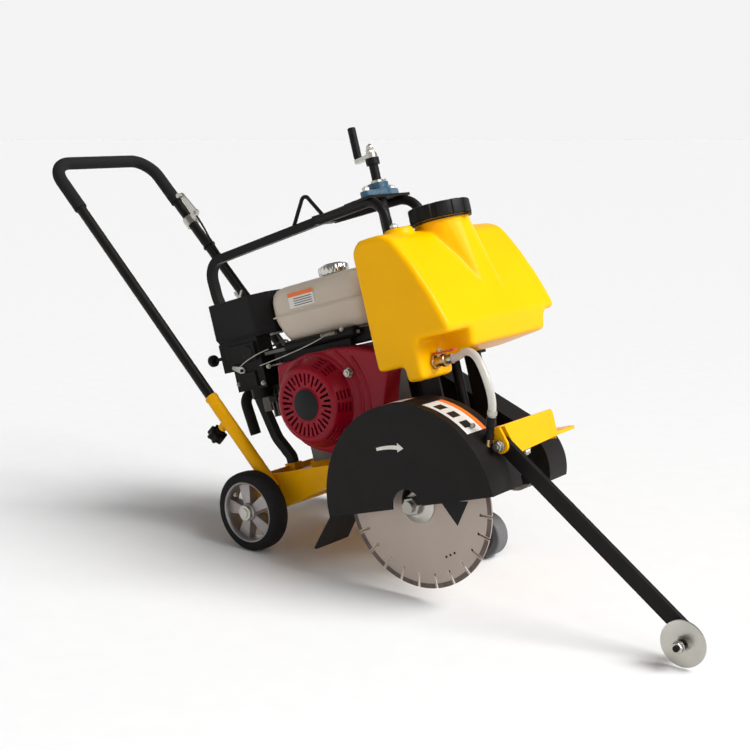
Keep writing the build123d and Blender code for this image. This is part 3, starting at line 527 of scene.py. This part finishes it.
# ---------------------------------------------------------------- tank cap and tether
def tank_cap():
    """A screw cap with broad ribs, hollow below."""
    bm = bmesh.new()
    place = Matrix.Translation((NECK_X, 0, 0))
    steps = 180
    ribs = 12
    rings = []
    for height, shrink in ((618.5, 1.0), (620, 0), (645, 0), (648.6, 1.5), (649.8, 4.5)):
        ring = []
        for i in range(steps):
            a = 2 * math.pi * i / steps
            wave = (a * ribs / (2 * math.pi)) % 1.0
            radius = (CAP_R if wave < 0.62 else CAP_R - 2.5) - shrink
            ring.append(bm.verts.new((NECK_X + radius * math.cos(a), radius * math.sin(a), height)))
        rings.append(ring)
    for radius, height in ((55, 649.8), (52, 647), (20, 647), (16, 649), (60.5, 618.5)):
        rings.append([bm.verts.new(place @ p) for p in circle(radius, height, steps)])
    under = rings.pop()
    deep = [bm.verts.new((v.co.x, v.co.y, 642)) for v in under]
    bm.faces.new(list(reversed(deep)))
    join_rings(bm, [deep, under] + rings)
    bm.faces.new(rings[-1])
    return to_object(bm, "tank_cap_ribbed", "black_plastic", "water_cap", smooth=30)


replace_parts(tank_cap(), "tank_cap")
lathe("tether_ring", [(58.6, 0), (65, 0), (65, 3), (58.6, 3)], (NECK_X, 0, 613.5), "z",
      "black_plastic", "root", closed=True)
strap = bmesh.new()
add_plan(strap, [(481, -124), (503, -124), (528, -60), (505, -50)], 612.4, 615)
add_plan(strap, [(590, -10), (609, -6), (609, 8), (590, 10)], 613.5, 616)
soften(to_object(strap, "tether_strap", "black_plastic", "root"), 0.8)
bolts("tether_bolt", [(492, -110, 615)], "z", 15, 7, "zinc", "root")


# ---------------------------------------------------------------- fuel tank and cap
def rounded(x0, x1, y0, y1, radius, steps=8):
    """A plan rectangle with round corners."""
    outline = []
    corners = ((x1 - radius, y1 - radius, 0), (x0 + radius, y1 - radius, 90),
               (x0 + radius, y0 + radius, 180), (x1 - radius, y0 + radius, 270))
    for cx, cy, start in corners:
        for i in range(steps + 1):
            a = math.radians(start + 90 * i / steps)
            outline.append((cx + radius * math.cos(a), cy + radius * math.sin(a)))
    return outline


def loft(bm, levels):
    """Stacks plan outlines of equal length; the first and last are closed."""
    rings = [[bm.verts.new((x, y, z)) for x, y in outline] for z, outline in levels]
    join_rings(bm, rings)
    bm.faces.new(list(reversed(rings[0])))
    bm.faces.new(rings[-1])


def fuel_tank():
    bm = bmesh.new()
    levels = [(440, 112, 78, 24), (443, 122, 86, 30), (458, 130, 94, 34), (484, 137, 102, 36),
              (498, 139.5, 105, 37), (498.6, 145, 110, 40), (501.4, 145, 110, 40),
              (502, 139.5, 105, 37), (534, 139, 104, 36), (550, 135, 100, 34), (559, 127, 92, 30),
              (563.6, 113, 80, 26)]
    loft(bm, [(z, rounded(227 - long, 227 + long, -half, half, r)) for z, long, half, r in levels])
    skin = to_object(bm, "fuel_tank_skin", "fuel_cream", "root", smooth=50)
    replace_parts(skin, "fuel_tank")
    lathe("fuel_neck", [(0, 560), (34, 560), (31, 566), (27, 567), (26.4, 576), (0, 576)],
          (*FILLER, 0), "z", "fuel_cream", "root", 64)


def fuel_cap():
    bm = bmesh.new()
    steps = 144
    rings = []
    for radius, height, flute in ((27.4, 568, 0), (34.2, 568, 0), (35, 570, 0.9), (35, 582, 0.9),
                                  (33.5, 585.5, 0.5), (28, 588, 0), (25, 588, 0),
                                  (22, 590.5, 0), (14, 591.8, 0)):
        ring = []
        for i in range(steps):
            a = 2 * math.pi * i / steps
            r = radius - flute * (1 if (i // 3) % 2 else 0)
            ring.append(bm.verts.new((*on_circle(FILLER, r, a), height)))
        rings.append(ring)
    join_rings(bm, rings)
    bm.faces.new(rings[-1])
    skin = to_object(bm, "fuel_cap_chrome", "chrome", "petrol_cap", smooth=40)
    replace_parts(skin, "fuel_cap")


fuel_tank()
fuel_cap()


# ---------------------------------------------------------------- air cleaner
def air_cleaner(bm):
    plan = [(-93, -109), (42, -109), (77, -76), (77, 49), (-93, 49)]
    add_plan(bm, plan, 480, 567)
    add_plan(bm, [(x * 0.97, y * 0.96) for x, y in plan], 471, 484)


cover = moulded("air_cleaner_cover", air_cleaner, 3.0, 5, "black_plastic", "root")
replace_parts(cover, "air_cleaner")
nut = bmesh.new()
add_lathe(nut, [(0, 0), (8, 0), (8, 2), (5, 3), (5, 9), (0, 10)], (*WING_NUT, 566.5), "z", 32)
for wing in (-1, 1):
    add_prism(nut, [(WING_NUT[0] + wing * x, z)
                    for x, z in ((4, 571), (12, 579), (14, 587), (10, 587), (3, 577))][::wing],
              WING_NUT[1] - 2, WING_NUT[1] + 2)
soften(to_object(nut, "cleaner_wing_nut", "zinc", "root"), 0.5)


# ---------------------------------------------------------------- fan shroud and recoil cover
SHROUD = [(114, 396), (101, 332), (109, 270), (146, 214), (202, 184), (258, 172), (330, 190),
          (390, 260), (419, 331), (404, 376), (335, 398), (272, 406)]


def fan_shroud(bm):
    add_prism(bm, SHROUD, SHROUD_FACE, -93)
    add_lathe(bm, [(0, 0), (112, 0), (104, 6), (0, 6)], (CRANK[0], SHROUD_FACE + 2, CRANK[1]),
              (0, -1, 0), 96)


shroud = moulded("fan_shroud_skin", fan_shroud, 3.0, 7, "shroud_red", "root")
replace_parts(shroud, "fan_shroud")


def recoil_cover():
    bm = bmesh.new()
    outer = [(101, 0), (99, 5), (93, 16), (87, 28), (83, 34), (78, 37.4), (72, 38), (70, 36.5),
             (38, 35.5), (36.5, 37), (35, 37.4), (0, 37.4)]
    inner = [(0, 32), (70, 32), (80, 28), (90, 12), (96, 0)]
    add_lathe(bm, outer + inner, (CRANK[0], COVER_BASE, CRANK[1]), (0, -1, 0), 120, closed=True)
    skin = to_object(bm, "recoil_cover_skin", "shroud_red", "root")
    tool = bmesh.new()
    centre = Vector((CRANK[0], COVER_BASE, CRANK[1]))
    slots = 32
    for i in range(slots):
        a = 2 * math.pi * i / slots
        inner_r = 42 if i % 2 else 50
        way = Vector((math.cos(a), 0, math.sin(a)))
        across = Vector((-math.sin(a), 0, math.cos(a)))
        corners = [centre + way * r + across * w + Vector((0, -d, 0)) for d in (25, 45)
                   for r, w in ((inner_r, -2.1), (inner_r, 2.1), (69, 3.1), (69, -3.1))]
        add_hull(tool, corners)
    for group in (52, -5, -54):
        for side_step in (-1, 1):
            a = math.radians(group + side_step * 8.5)
            way = Vector((math.cos(a), 0, math.sin(a)))
            across = Vector((-math.sin(a), 0, math.cos(a)))
            for k in range(4):
                depth = 6 + k * 7.5
                radius = 100 - depth * 0.5
                corners = [centre + way * (radius + r) + across * w + Vector((0, -depth - d, 0))
                           for r in (-16, 14)
                           for d, w in ((-2.4, -9.5), (2.4, -9.5), (2.4, 9.5), (-2.4, 9.5))]
                add_hull(tool, corners)
    cut(skin, loose(tool, "grille_tool"))
    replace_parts(skin, "recoil_cover")
    # A near-black disc just behind the grille slots, painted shade for the shadowed inside of the
    # cover.
    lathe("grille_shade_disc", [(0, 29), (68, 29), (88, 14), (92, 3), (0, 3)],
          (CRANK[0], COVER_BASE, CRANK[1]), (0, -1, 0), "painted_shade_inside", "root", 64)
    lathe("cover_badge", [(0, 37.2), (33.5, 37.2), (34.5, 38.2), (33, 39), (0, 39.6)],
          (CRANK[0], COVER_BASE, CRANK[1]), (0, -1, 0), "label_black", "root", 64)


recoil_cover()
bolts("shroud_bolts", [(290, -147, 215), (140, -147, 262)], (0, -1, 0), 11, 5, "zinc", "root")
bolts("shroud_big_bolt", [(318, -146, 346)], (0, -1, 0), 17, 8, "zinc", "root")


def shroud_rib(name, radius, start, stop):
    """A raised contour on the shroud, round the crankshaft."""
    bm = bmesh.new()
    rows = []
    for a in sweep_angles(start, stop, 40):
        row = []
        for r, y in ((radius - 5, SHROUD_FACE + 1), (radius - 3, SHROUD_FACE - 2),
                     (radius + 3, SHROUD_FACE - 2), (radius + 5, SHROUD_FACE + 1)):
            x, z = on_circle(CRANK, r, a)
            row.append(bm.verts.new((x, y, z)))
        rows.append(row)
    add_bar(bm, rows)
    to_object(bm, name, "shroud_red", "root", smooth=60)


shroud_rib("shroud_rib_inner", 124, -56, 52)
shroud_rib("shroud_rib_outer", 142, -42, 34)


# ---------------------------------------------------------------- rear wheels
def rear_wheel(hand, word):
    centre = (0, hand * 202, AXLE_Z)
    body = "rear_wheel_" + word
    tyre = [(69.8, -22.5), (76, -23), (84, -21.5), (88.5, -17), (90, -8), (90, 8), (88.5, 17),
            (84, 21.5), (76, 23), (69.8, 22.5)]
    skin = lathe("tyre_" + word, tyre, centre, "y", "tyre", body, 128, closed=True, smooth=60)
    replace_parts(skin, "rear_tyre_" + word)
    bm = bmesh.new()
    rim = [(69.4, -22), (69.4, 22), (66, 22), (63.5, 18), (62.5, 8), (62.5, -8), (63.5, -18),
           (66, -22)]
    add_lathe(bm, rim, centre, "y", 128, closed=True)
    boss = [(10.1, -22), (17, -22), (20, -19), (22, -8), (22, 8), (20, 19), (17, 22), (10.1, 22)]
    add_lathe(bm, boss, centre, "y", 64, closed=True)
    place = frame_at(centre, "y")
    for i in range(5):
        a = 2 * math.pi * i / 5 + 0.3
        spin = Matrix.Rotation(a, 4, "Z")
        corners = []
        for r, w, d in ((18, 10, 15), (64, 17, 10)):
            for h, v in ((-w, -d), (w, -d), (w, d), (-w, d)):
                corners.append(place @ spin @ Vector((r, h, v)))
        add_hull(bm, corners)
    hub = to_object(bm, "hub_" + word, "wheel_alloy", body)
    soften(hub, 1.6)
    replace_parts(hub, "rear_hub_" + word)
    side_way = (0, hand, 0)
    stem = frame_at(centre, "y") @ Matrix.Rotation(1.0, 4, "Z") @ Vector((50, 0, 0))
    bolts("hub_bolt_" + word, [(stem.x, hand * 216, stem.z)], side_way, 8, 4, "zinc", body)


rear_wheel(-1, "right")
rear_wheel(1, "left")
for hand, word in ((-1, "right"), (1, "left")):
    lathe("axle_end_" + word, [(0, 0), (13, 0), (13, 3), (10, 5), (5, 6.2), (0, 6.2)],
          (0, hand * 226.5, AXLE_Z), (0, hand, 0), "zinc", "root", 48)


# ---------------------------------------------------------------- blade and its clamp
def blade_parts():
    bm = bmesh.new()
    count = 24
    pitch = 360 / count
    gap = 1.3
    for i in range(count):
        rows = []
        for a in sweep_angles(pitch * i + gap, pitch * (i + 1) - gap, 7):
            row = []
            for radius, y in ((BLADE_R - 10, -1.95), (BLADE_R - 0.1, -1.95),
                              (BLADE_R - 0.1, 1.95), (BLADE_R - 10, 1.95)):
                x, z = on_circle(SPINDLE, radius, a)
                row.append(bm.verts.new((x, BLADE_Y + y, z)))
            rows.append(row)
        add_bar(bm, rows)
    to_object(bm, "diamond_segments", "segment", "blade_spindle")
    way = (0, -1, 0)
    at = (SPINDLE[0], BLADE_Y - 1.7, SPINDLE[1])
    flange = [(12.6, 0), (40, 0), (40, 2.5), (36, 5), (27, 10), (24, 11), (12.6, 11)]
    skin = lathe("flange_outer", flange, at, way, "zinc", "blade_spindle", 96, closed=True)
    lathe("flange_inner", flange, (SPINDLE[0], BLADE_Y + 1.7, SPINDLE[1]), (0, 1, 0), "steel",
          "blade_spindle", 96, closed=True)
    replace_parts(skin, "blade_flanges")
    soften(bolts("blade_nut", [(SPINDLE[0], BLADE_Y - 12.7, SPINDLE[1])], way, 36, 16, "steel",
                 "blade_spindle"), 0.8)
    lathe("arbor_end", [(0, 0), (12.2, 0), (12.2, 7.6), (10.5, 9.2), (5, 9.2), (4.4, 6), (0, 6)],
          (SPINDLE[0], -246, SPINDLE[1]), way, "steel", "blade_spindle", 48)
    print_y = BLADE_Y - 1.66
    mark = bmesh.new()
    add_prism(mark, [(536, 59), (603, 53), (564, 7)], print_y - 0.15, print_y)
    for k in range(3):
        cx = 520 + k * 11
        add_lathe(mark, [(0, 0), (3, 0), (3, 0.15), (0, 0.15)], (cx, print_y, -52 + 3 * k), way, 5)
    to_object(mark, "blade_print", "label_black", "blade_spindle")


blade_parts()


# ---------------------------------------------------------------- decals without lettering
def arrow_decal():
    """The turning arrow, on a wide arc."""
    bm = bmesh.new()
    centre = (452, 0)
    radius = 186
    steps = 12
    neck, head = math.radians(78.5), math.radians(73.9)
    outer, inner = [], []
    for k, a in enumerate(sweep_angles(95, 78.5, steps)):
        half = 3.2 + 1.0 * k / steps
        outer.append(on_circle(centre, radius + half, a))
        inner.append(on_circle(centre, radius - half, a))
    point = [on_circle(centre, radius + 9.5, neck), on_circle(centre, radius, head),
             on_circle(centre, radius - 9.5, neck)]
    add_prism(bm, outer + point + inner[::-1], GUARD_OUT - 0.35, GUARD_OUT - 0.05)
    to_object(bm, "turn_arrow", "label_white", "root", smooth=0)


def rim_label(name, look, start, stop, y0, y1, lift):
    """A sticker that follows the round rim of the blade guard."""
    bm = bmesh.new()
    low, high = GUARD_R + lift, GUARD_R + lift + 0.25
    rows = []
    for a in sweep_angles(start, stop, 24):
        row = []
        for radius, y in ((low, y0), (low, y1), (high, y1), (high, y0)):
            x, z = on_circle(SPINDLE, radius, a)
            row.append(bm.verts.new((x, y, z)))
        rows.append(row)
    add_bar(bm, rows)
    to_object(bm, name, look, "root", smooth=30)


arrow_decal()
rim_label("rim_label_white", "label_white", 36, 68, -236, -184, 0.1)
rim_label("rim_label_orange", "label_orange", 36, 68, -183, -170, 0.1)
rim_label("rim_label_rear_white", "label_white", 84, 104, -230, -190, 0.1)
rim_label("rim_label_rear_orange", "label_orange", 84, 104, -189, -182, 0.1)
for slot_index in range(3):
    first = 40 + slot_index * 9
    rim_label("rim_sign_" + str(slot_index), "label_black", first, first + 5, -226, -200, 0.4)


def tank_label():
    """A blank panel on the fuel tank, with a band and four bars."""
    side_y = -105.2
    bm = bmesh.new()
    add_prism(bm, [(157, 511), (232, 511), (232, 545), (157, 545)], side_y - 0.1, side_y + 0.3)
    to_object(bm, "tank_label", "label_white", "root", smooth=0)
    bm = bmesh.new()
    add_prism(bm, [(157, 536), (232, 536), (232, 545), (157, 545)], side_y - 0.4, side_y)
    to_object(bm, "tank_label_band", "label_orange", "root", smooth=0)
    bm = bmesh.new()
    for low in (515, 520, 525, 530):
        add_prism(bm, [(172, low), (226, low), (226, low + 1.6), (172, low + 1.6)],
                  side_y - 0.3, side_y)
    to_object(bm, "tank_label_bars", "label_black", "root", smooth=0)


tank_label()


# ---------------------------------------------------------------- water valve and hose
HOSE = [(590, *VALVE[1:]), (613, *VALVE[1:]), (647, -177, 341), (681, -193, 327),
        (697, -199, 275), (698, -200, 228.632), BARB]
hose = tube("water_hose_line", HOSE, 8, "clear_hose", "root")
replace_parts(hose, "water_hose")
lathe("valve_body", [(0, 0), (13, 0), (13, 6), (11, 7), (11, 22), (13, 23), (13, 31), (9, 33),
                     (9, 38), (0, 38)], (VALVE_BASE, *VALVE[1:]), "x", "brass", "root", 48)
soften(bolts("valve_collar", [(VALVE_BASE, *VALVE[1:])], "x", 27, 7, "brass", "root",
             washer=False), 0.6)
lathe("valve_stem", rod_profile(6, 14), (*VALVE[:2], 338), "z", "brass", "root", 32)
bolts("valve_nut", [(*VALVE[:2], 349.5)], "z", 8, 3.5, "zinc", "valve_handle")
clamp_ring = [(8.2, 0), (9.6, 0), (9.6, 8), (8.2, 8)]
lathe("hose_clamp_top", clamp_ring, (591, *VALVE[1:]), "x", "zinc", "root", 48, closed=True)
barb_way = Vector((-38, 0, -86)).normalized()
lathe("hose_clamp_low", clamp_ring, Vector(BARB) - barb_way * 12, barb_way, "zinc", "root", 48,
      closed=True)
lathe("hose_elbow", [(0, 0), (9.4, 0), (9.4, 20), (8, 22), (8, 34), (10, 35), (10, 44), (0, 44)],
      BARB, barb_way, "black_plastic", "root", 48)
bolts("barb_screw", [(646, -206, 196)], (0.3, -1, 0.2), 8, 6, "zinc", "root")


# ---------------------------------------------------------------- jack top, crank and handle trim
bolts("jack_bearing_bolts", [(JACK_X, -45, FLANGE_TOP), (JACK_X, 45, FLANGE_TOP)], "z", 15,
      7, "zinc", "root")
lathe("bearing_collar", [(10.6, 0), (14, 0), (14, 6), (10.6, 7)], (JACK_X, 0, 732.3), "z", "zinc",
      "crank", 64, closed=True)
lathe("grease_nipple", [(0, 0), (3.6, 0), (3.6, 4), (2.4, 6), (3, 9), (0, 10)],
      (JACK_X + 12, 8, 729), (0.3, 0.3, 1), "zinc", "root", 24)
lathe("crank_eye", [(0, -6), (6, -5), (8.5, 0), (6, 5), (0, 6)], (JACK_X, 0, 811), (0, 1, 0),
      "zinc", "crank", 32)
bolts("crank_nut", [(JACK_X, 0, 797)], "z", 19, 8, "zinc", "crank")
bolts("pointer_nut", [(ARM_PIVOT[0], -198, ARM_PIVOT[1])], (0, -1, 0), 19, 8, "zinc", "root")
bolts("pointer_wheel_nut", [(WHEEL_AT[0], -234, WHEEL_AT[1])], (0, -1, 0), 19, 8, "zinc", "pointer")
bolts("front_plate_bolt", [(655, -60, 119)], (0, 0, -1), 17, 8, "zinc", "root")


def along(start, distance):
    """A point on the line of the handle tubes."""
    return (start[0] - distance * 0.5, start[1] + distance * math.sqrt(0.75))


SLEEVE_TOP = (-94.5, 359)
TUBE_WAY = (-0.5, 0, math.sqrt(0.75))
for hand, word in ((-1, "right"), (1, "left")):
    at = along(SLEEVE_TOP, 600)
    lathe("foam_band_" + word, [(12.6, 0), (15.0, 0), (15.9, 2), (15.9, 7), (12.6, 7)],
          (at[0], hand * HANDLE_Y, at[1]), TUBE_WAY, "foam", "handle", 48, closed=True)
    at = along(SLEEVE_TOP, -6)
    lathe("sleeve_lip_" + word, [(12.7, 0), (15.8, 0), (15.8, 6), (12.7, 6)],
          (at[0], hand * HANDLE_Y, at[1]), TUBE_WAY, "frame_yellow", "root", 64, closed=True)


# ---------------------------------------------------------------- throttle cable
def cable_points():
    """From the lever, down the front of the left tube and across to the carburettor."""
    front = (math.sqrt(0.75), 0.5)
    points = []
    for distance, out, y in ((560, 34, 154), (500, 30, 156), (440, 17, 158), (330, 15.5, 159),
                             (210, 15.5, 159), (120, 17, 158)):
        at = along(SLEEVE_TOP, distance)
        points.append((at[0] + out * front[0], y, at[1] + out * front[1]))
    return points + [(-95, 140, 430), (-70, 112, 452), (-58, 80, 455), (-60, 20, 440),
                     (-62, -40, 420), (-62, -62, 418)]


cable = tube("throttle_cable", cable_points(), 2.6, "black_plastic", "handle")
cable_mesh = bpy.data.objects.new("throttle_cable_line", bpy.data.meshes.new_from_object(cable))
bpy.data.objects.remove(cable, do_unlink=True)
bpy.context.scene.collection.objects.link(cable_mesh)
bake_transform(cable_mesh)
for index, distance in enumerate((440, 210)):
    at = along(SLEEVE_TOP, distance)
    lathe("cable_tie_" + str(index), [(12.7, 0), (16.5, 0), (16.5, 4), (12.7, 4)],
          (at[0] + 1.6, HANDLE_Y, at[1] + 0.9), TUBE_WAY, "black_plastic", "handle", 40,
          closed=True)


# ---------------------------------------------------------------- engine dressing
def engine_dressing():
    bm = bmesh.new()
    add_box(bm, (-44, -110, 360), (10, -104, 396))
    add_box(bm, (-66, -112, 420), (26, -104, 462))
    add_lathe(bm, rod_profile(17, 10, 2), (4, -104, 440), (0, -1, 0), 48)
    add_lathe(bm, rod_profile(24, 30, 3), (-10, -80, 330), "z", 48)
    soften(to_object(bm, "control_box", "black_plastic", "root"), 1.5)
    bm = bmesh.new()
    add_box(bm, (40, -96, 424), (330, -92, 432))
    add_box(bm, (60, -120, 396), (110, -92, 400))
    soften(to_object(bm, "control_bracket", "engine_alloy", "root"), 0.8)
    bm = bmesh.new()
    add_box(bm, (56, -84, 404), (352, 84, 436))
    add_box(bm, (96, -96, 398), (300, -80, 424))
    add_lathe(bm, rod_profile(13, 210, 3), (110, -92, 430), "x", 32)
    soften(to_object(bm, "tank_bracket", "black_plastic", "root"), 2.0)
    tube("governor_rod", [(36, -114, 404), (120, -118, 412), (230, -118, 428), (262, -112, 440)],
         1.3, "zinc", "root")
    tube("choke_rod", [(-26, -116, 412), (20, -120, 430), (70, -112, 436)], 1.3, "zinc", "root")
    bolts("engine_bolts_side", [(-52, -104, 372), (26, -104, 364), (70, -121, 398),
                                (286, -98, 440)], (0, -1, 0), 9, 4, "zinc", "root")
    coil = []
    turns = 9
    for i in range(turns * 8 + 1):
        a = 2 * math.pi * i / 8
        t = i / (turns * 8)
        coil.append((236 + 42 * t, -114 + 4.2 * math.cos(a), 436 + 4.2 * math.sin(a)))
    tube("governor_spring", coil, 0.9, "zinc", "root")
    lathe("plug_cap", [(0, 0), (9, 0), (11, 6), (11, 24), (7, 30), (7, 44), (0, 46)],
          (-44, 20, 372), (-1, 0, 0.3), "black_plastic", "root", 40)
    tube("plug_lead", [(-84, 20, 386), (-92, 44, 392), (-80, 88, 380), (-30, 100, 300),
                       (60, 112, 280)], 3.2, "black_plastic", "root")
    lathe("oil_plug", [(0, 0), (11, 0), (13, 3), (13, 10), (9, 13), (0, 13)], (260, -90, 190),
          (0.2, -1, 0.3), "black_plastic", "root", 40)
    bolts("engine_feet", [(120, -70, 166), (300, -70, 166), (120, 78, 166), (300, 78, 166)], "z",
          14, 8, "zinc", "root")
    bm = bmesh.new()
    for foot_x in (104, 284):
        add_box(bm, (foot_x, -84, 166), (foot_x + 32, -56, 172))
    soften(to_object(bm, "engine_foot_pads", "engine_alloy", "root"), 1.0)


engine_dressing()


# ---------------------------------------------------------------- floor, light and camera
def aimed(name, data, location, way):
    """A lamp or camera at a place, looking along way."""
    holder = bpy.data.objects.new(name, data)
    holder.location = location
    holder.rotation_euler = Vector(way).to_track_quat("-Z", "Y").to_euler()
    bpy.context.scene.collection.objects.link(holder)
    return holder


def studio_floor():
    floor = bpy.data.meshes.new("floor")
    reach = 90.0
    floor.from_pydata([(-reach, -reach, 0), (reach, -reach, 0), (reach, reach, 0),
                       (-reach, reach, 0)], [], [(0, 1, 2, 3)])
    floor.materials.append(surface("studio_floor", (0.83, 0.83, 0.83), 0.8, vary=0.01, shine=0.1))
    ground = bpy.data.objects.new("floor", floor)
    bpy.context.scene.collection.objects.link(ground)


def studio_world():
    """White all round, bright low down and dimmer above."""
    world = bpy.data.worlds.new("studio")
    world.use_nodes = True
    nodes = world.node_tree.nodes
    links = world.node_tree.links
    place = nodes.new("ShaderNodeTexCoord")
    parts = nodes.new("ShaderNodeSeparateXYZ")
    links.new(place.outputs["Generated"], parts.inputs["Vector"])
    fade = nodes.new("ShaderNodeMapRange")
    socket(fade, "From Min", 0.16)
    socket(fade, "From Max", 0.34)
    socket(fade, "To Min", 0.9)
    socket(fade, "To Max", 0.2)
    links.new(parts.outputs["Z"], fade.inputs["Value"])
    links.new(fade.outputs["Result"], nodes["Background"].inputs["Strength"])
    socket(nodes["Background"], "Color", (1, 1, 1, 1))
    bpy.context.scene.world = world


def lamps():
    sun = bpy.data.lights.new("sun", "SUN")
    sun.energy = 3.9
    sun.angle = math.radians(35)
    aimed("sun", sun, (0, 0, 0), (-1.0, -0.3, -1.05))
    box = bpy.data.lights.new("front_box", "AREA")
    box.energy = 14
    box.size = 1.2
    aimed("front_box", box, (2.6, -1.0, 1.9), (-2.5, 1.0, -1.5))


def camera():
    yaw = math.radians(37.901)
    pitch = math.radians(11.177)
    lens = bpy.data.cameras.new("camera")
    lens.sensor_width = 36
    lens.lens = 62.196
    lens.clip_end = 60
    way = (-math.sin(yaw) * math.cos(pitch), math.cos(yaw) * math.cos(pitch), -math.sin(pitch))
    bpy.context.scene.camera = aimed("camera", lens, (1.75498, -2.2318, 0.9532), way)


studio_floor()
studio_world()
lamps()
camera()
bpy.context.scene.view_settings.view_transform = "Standard"
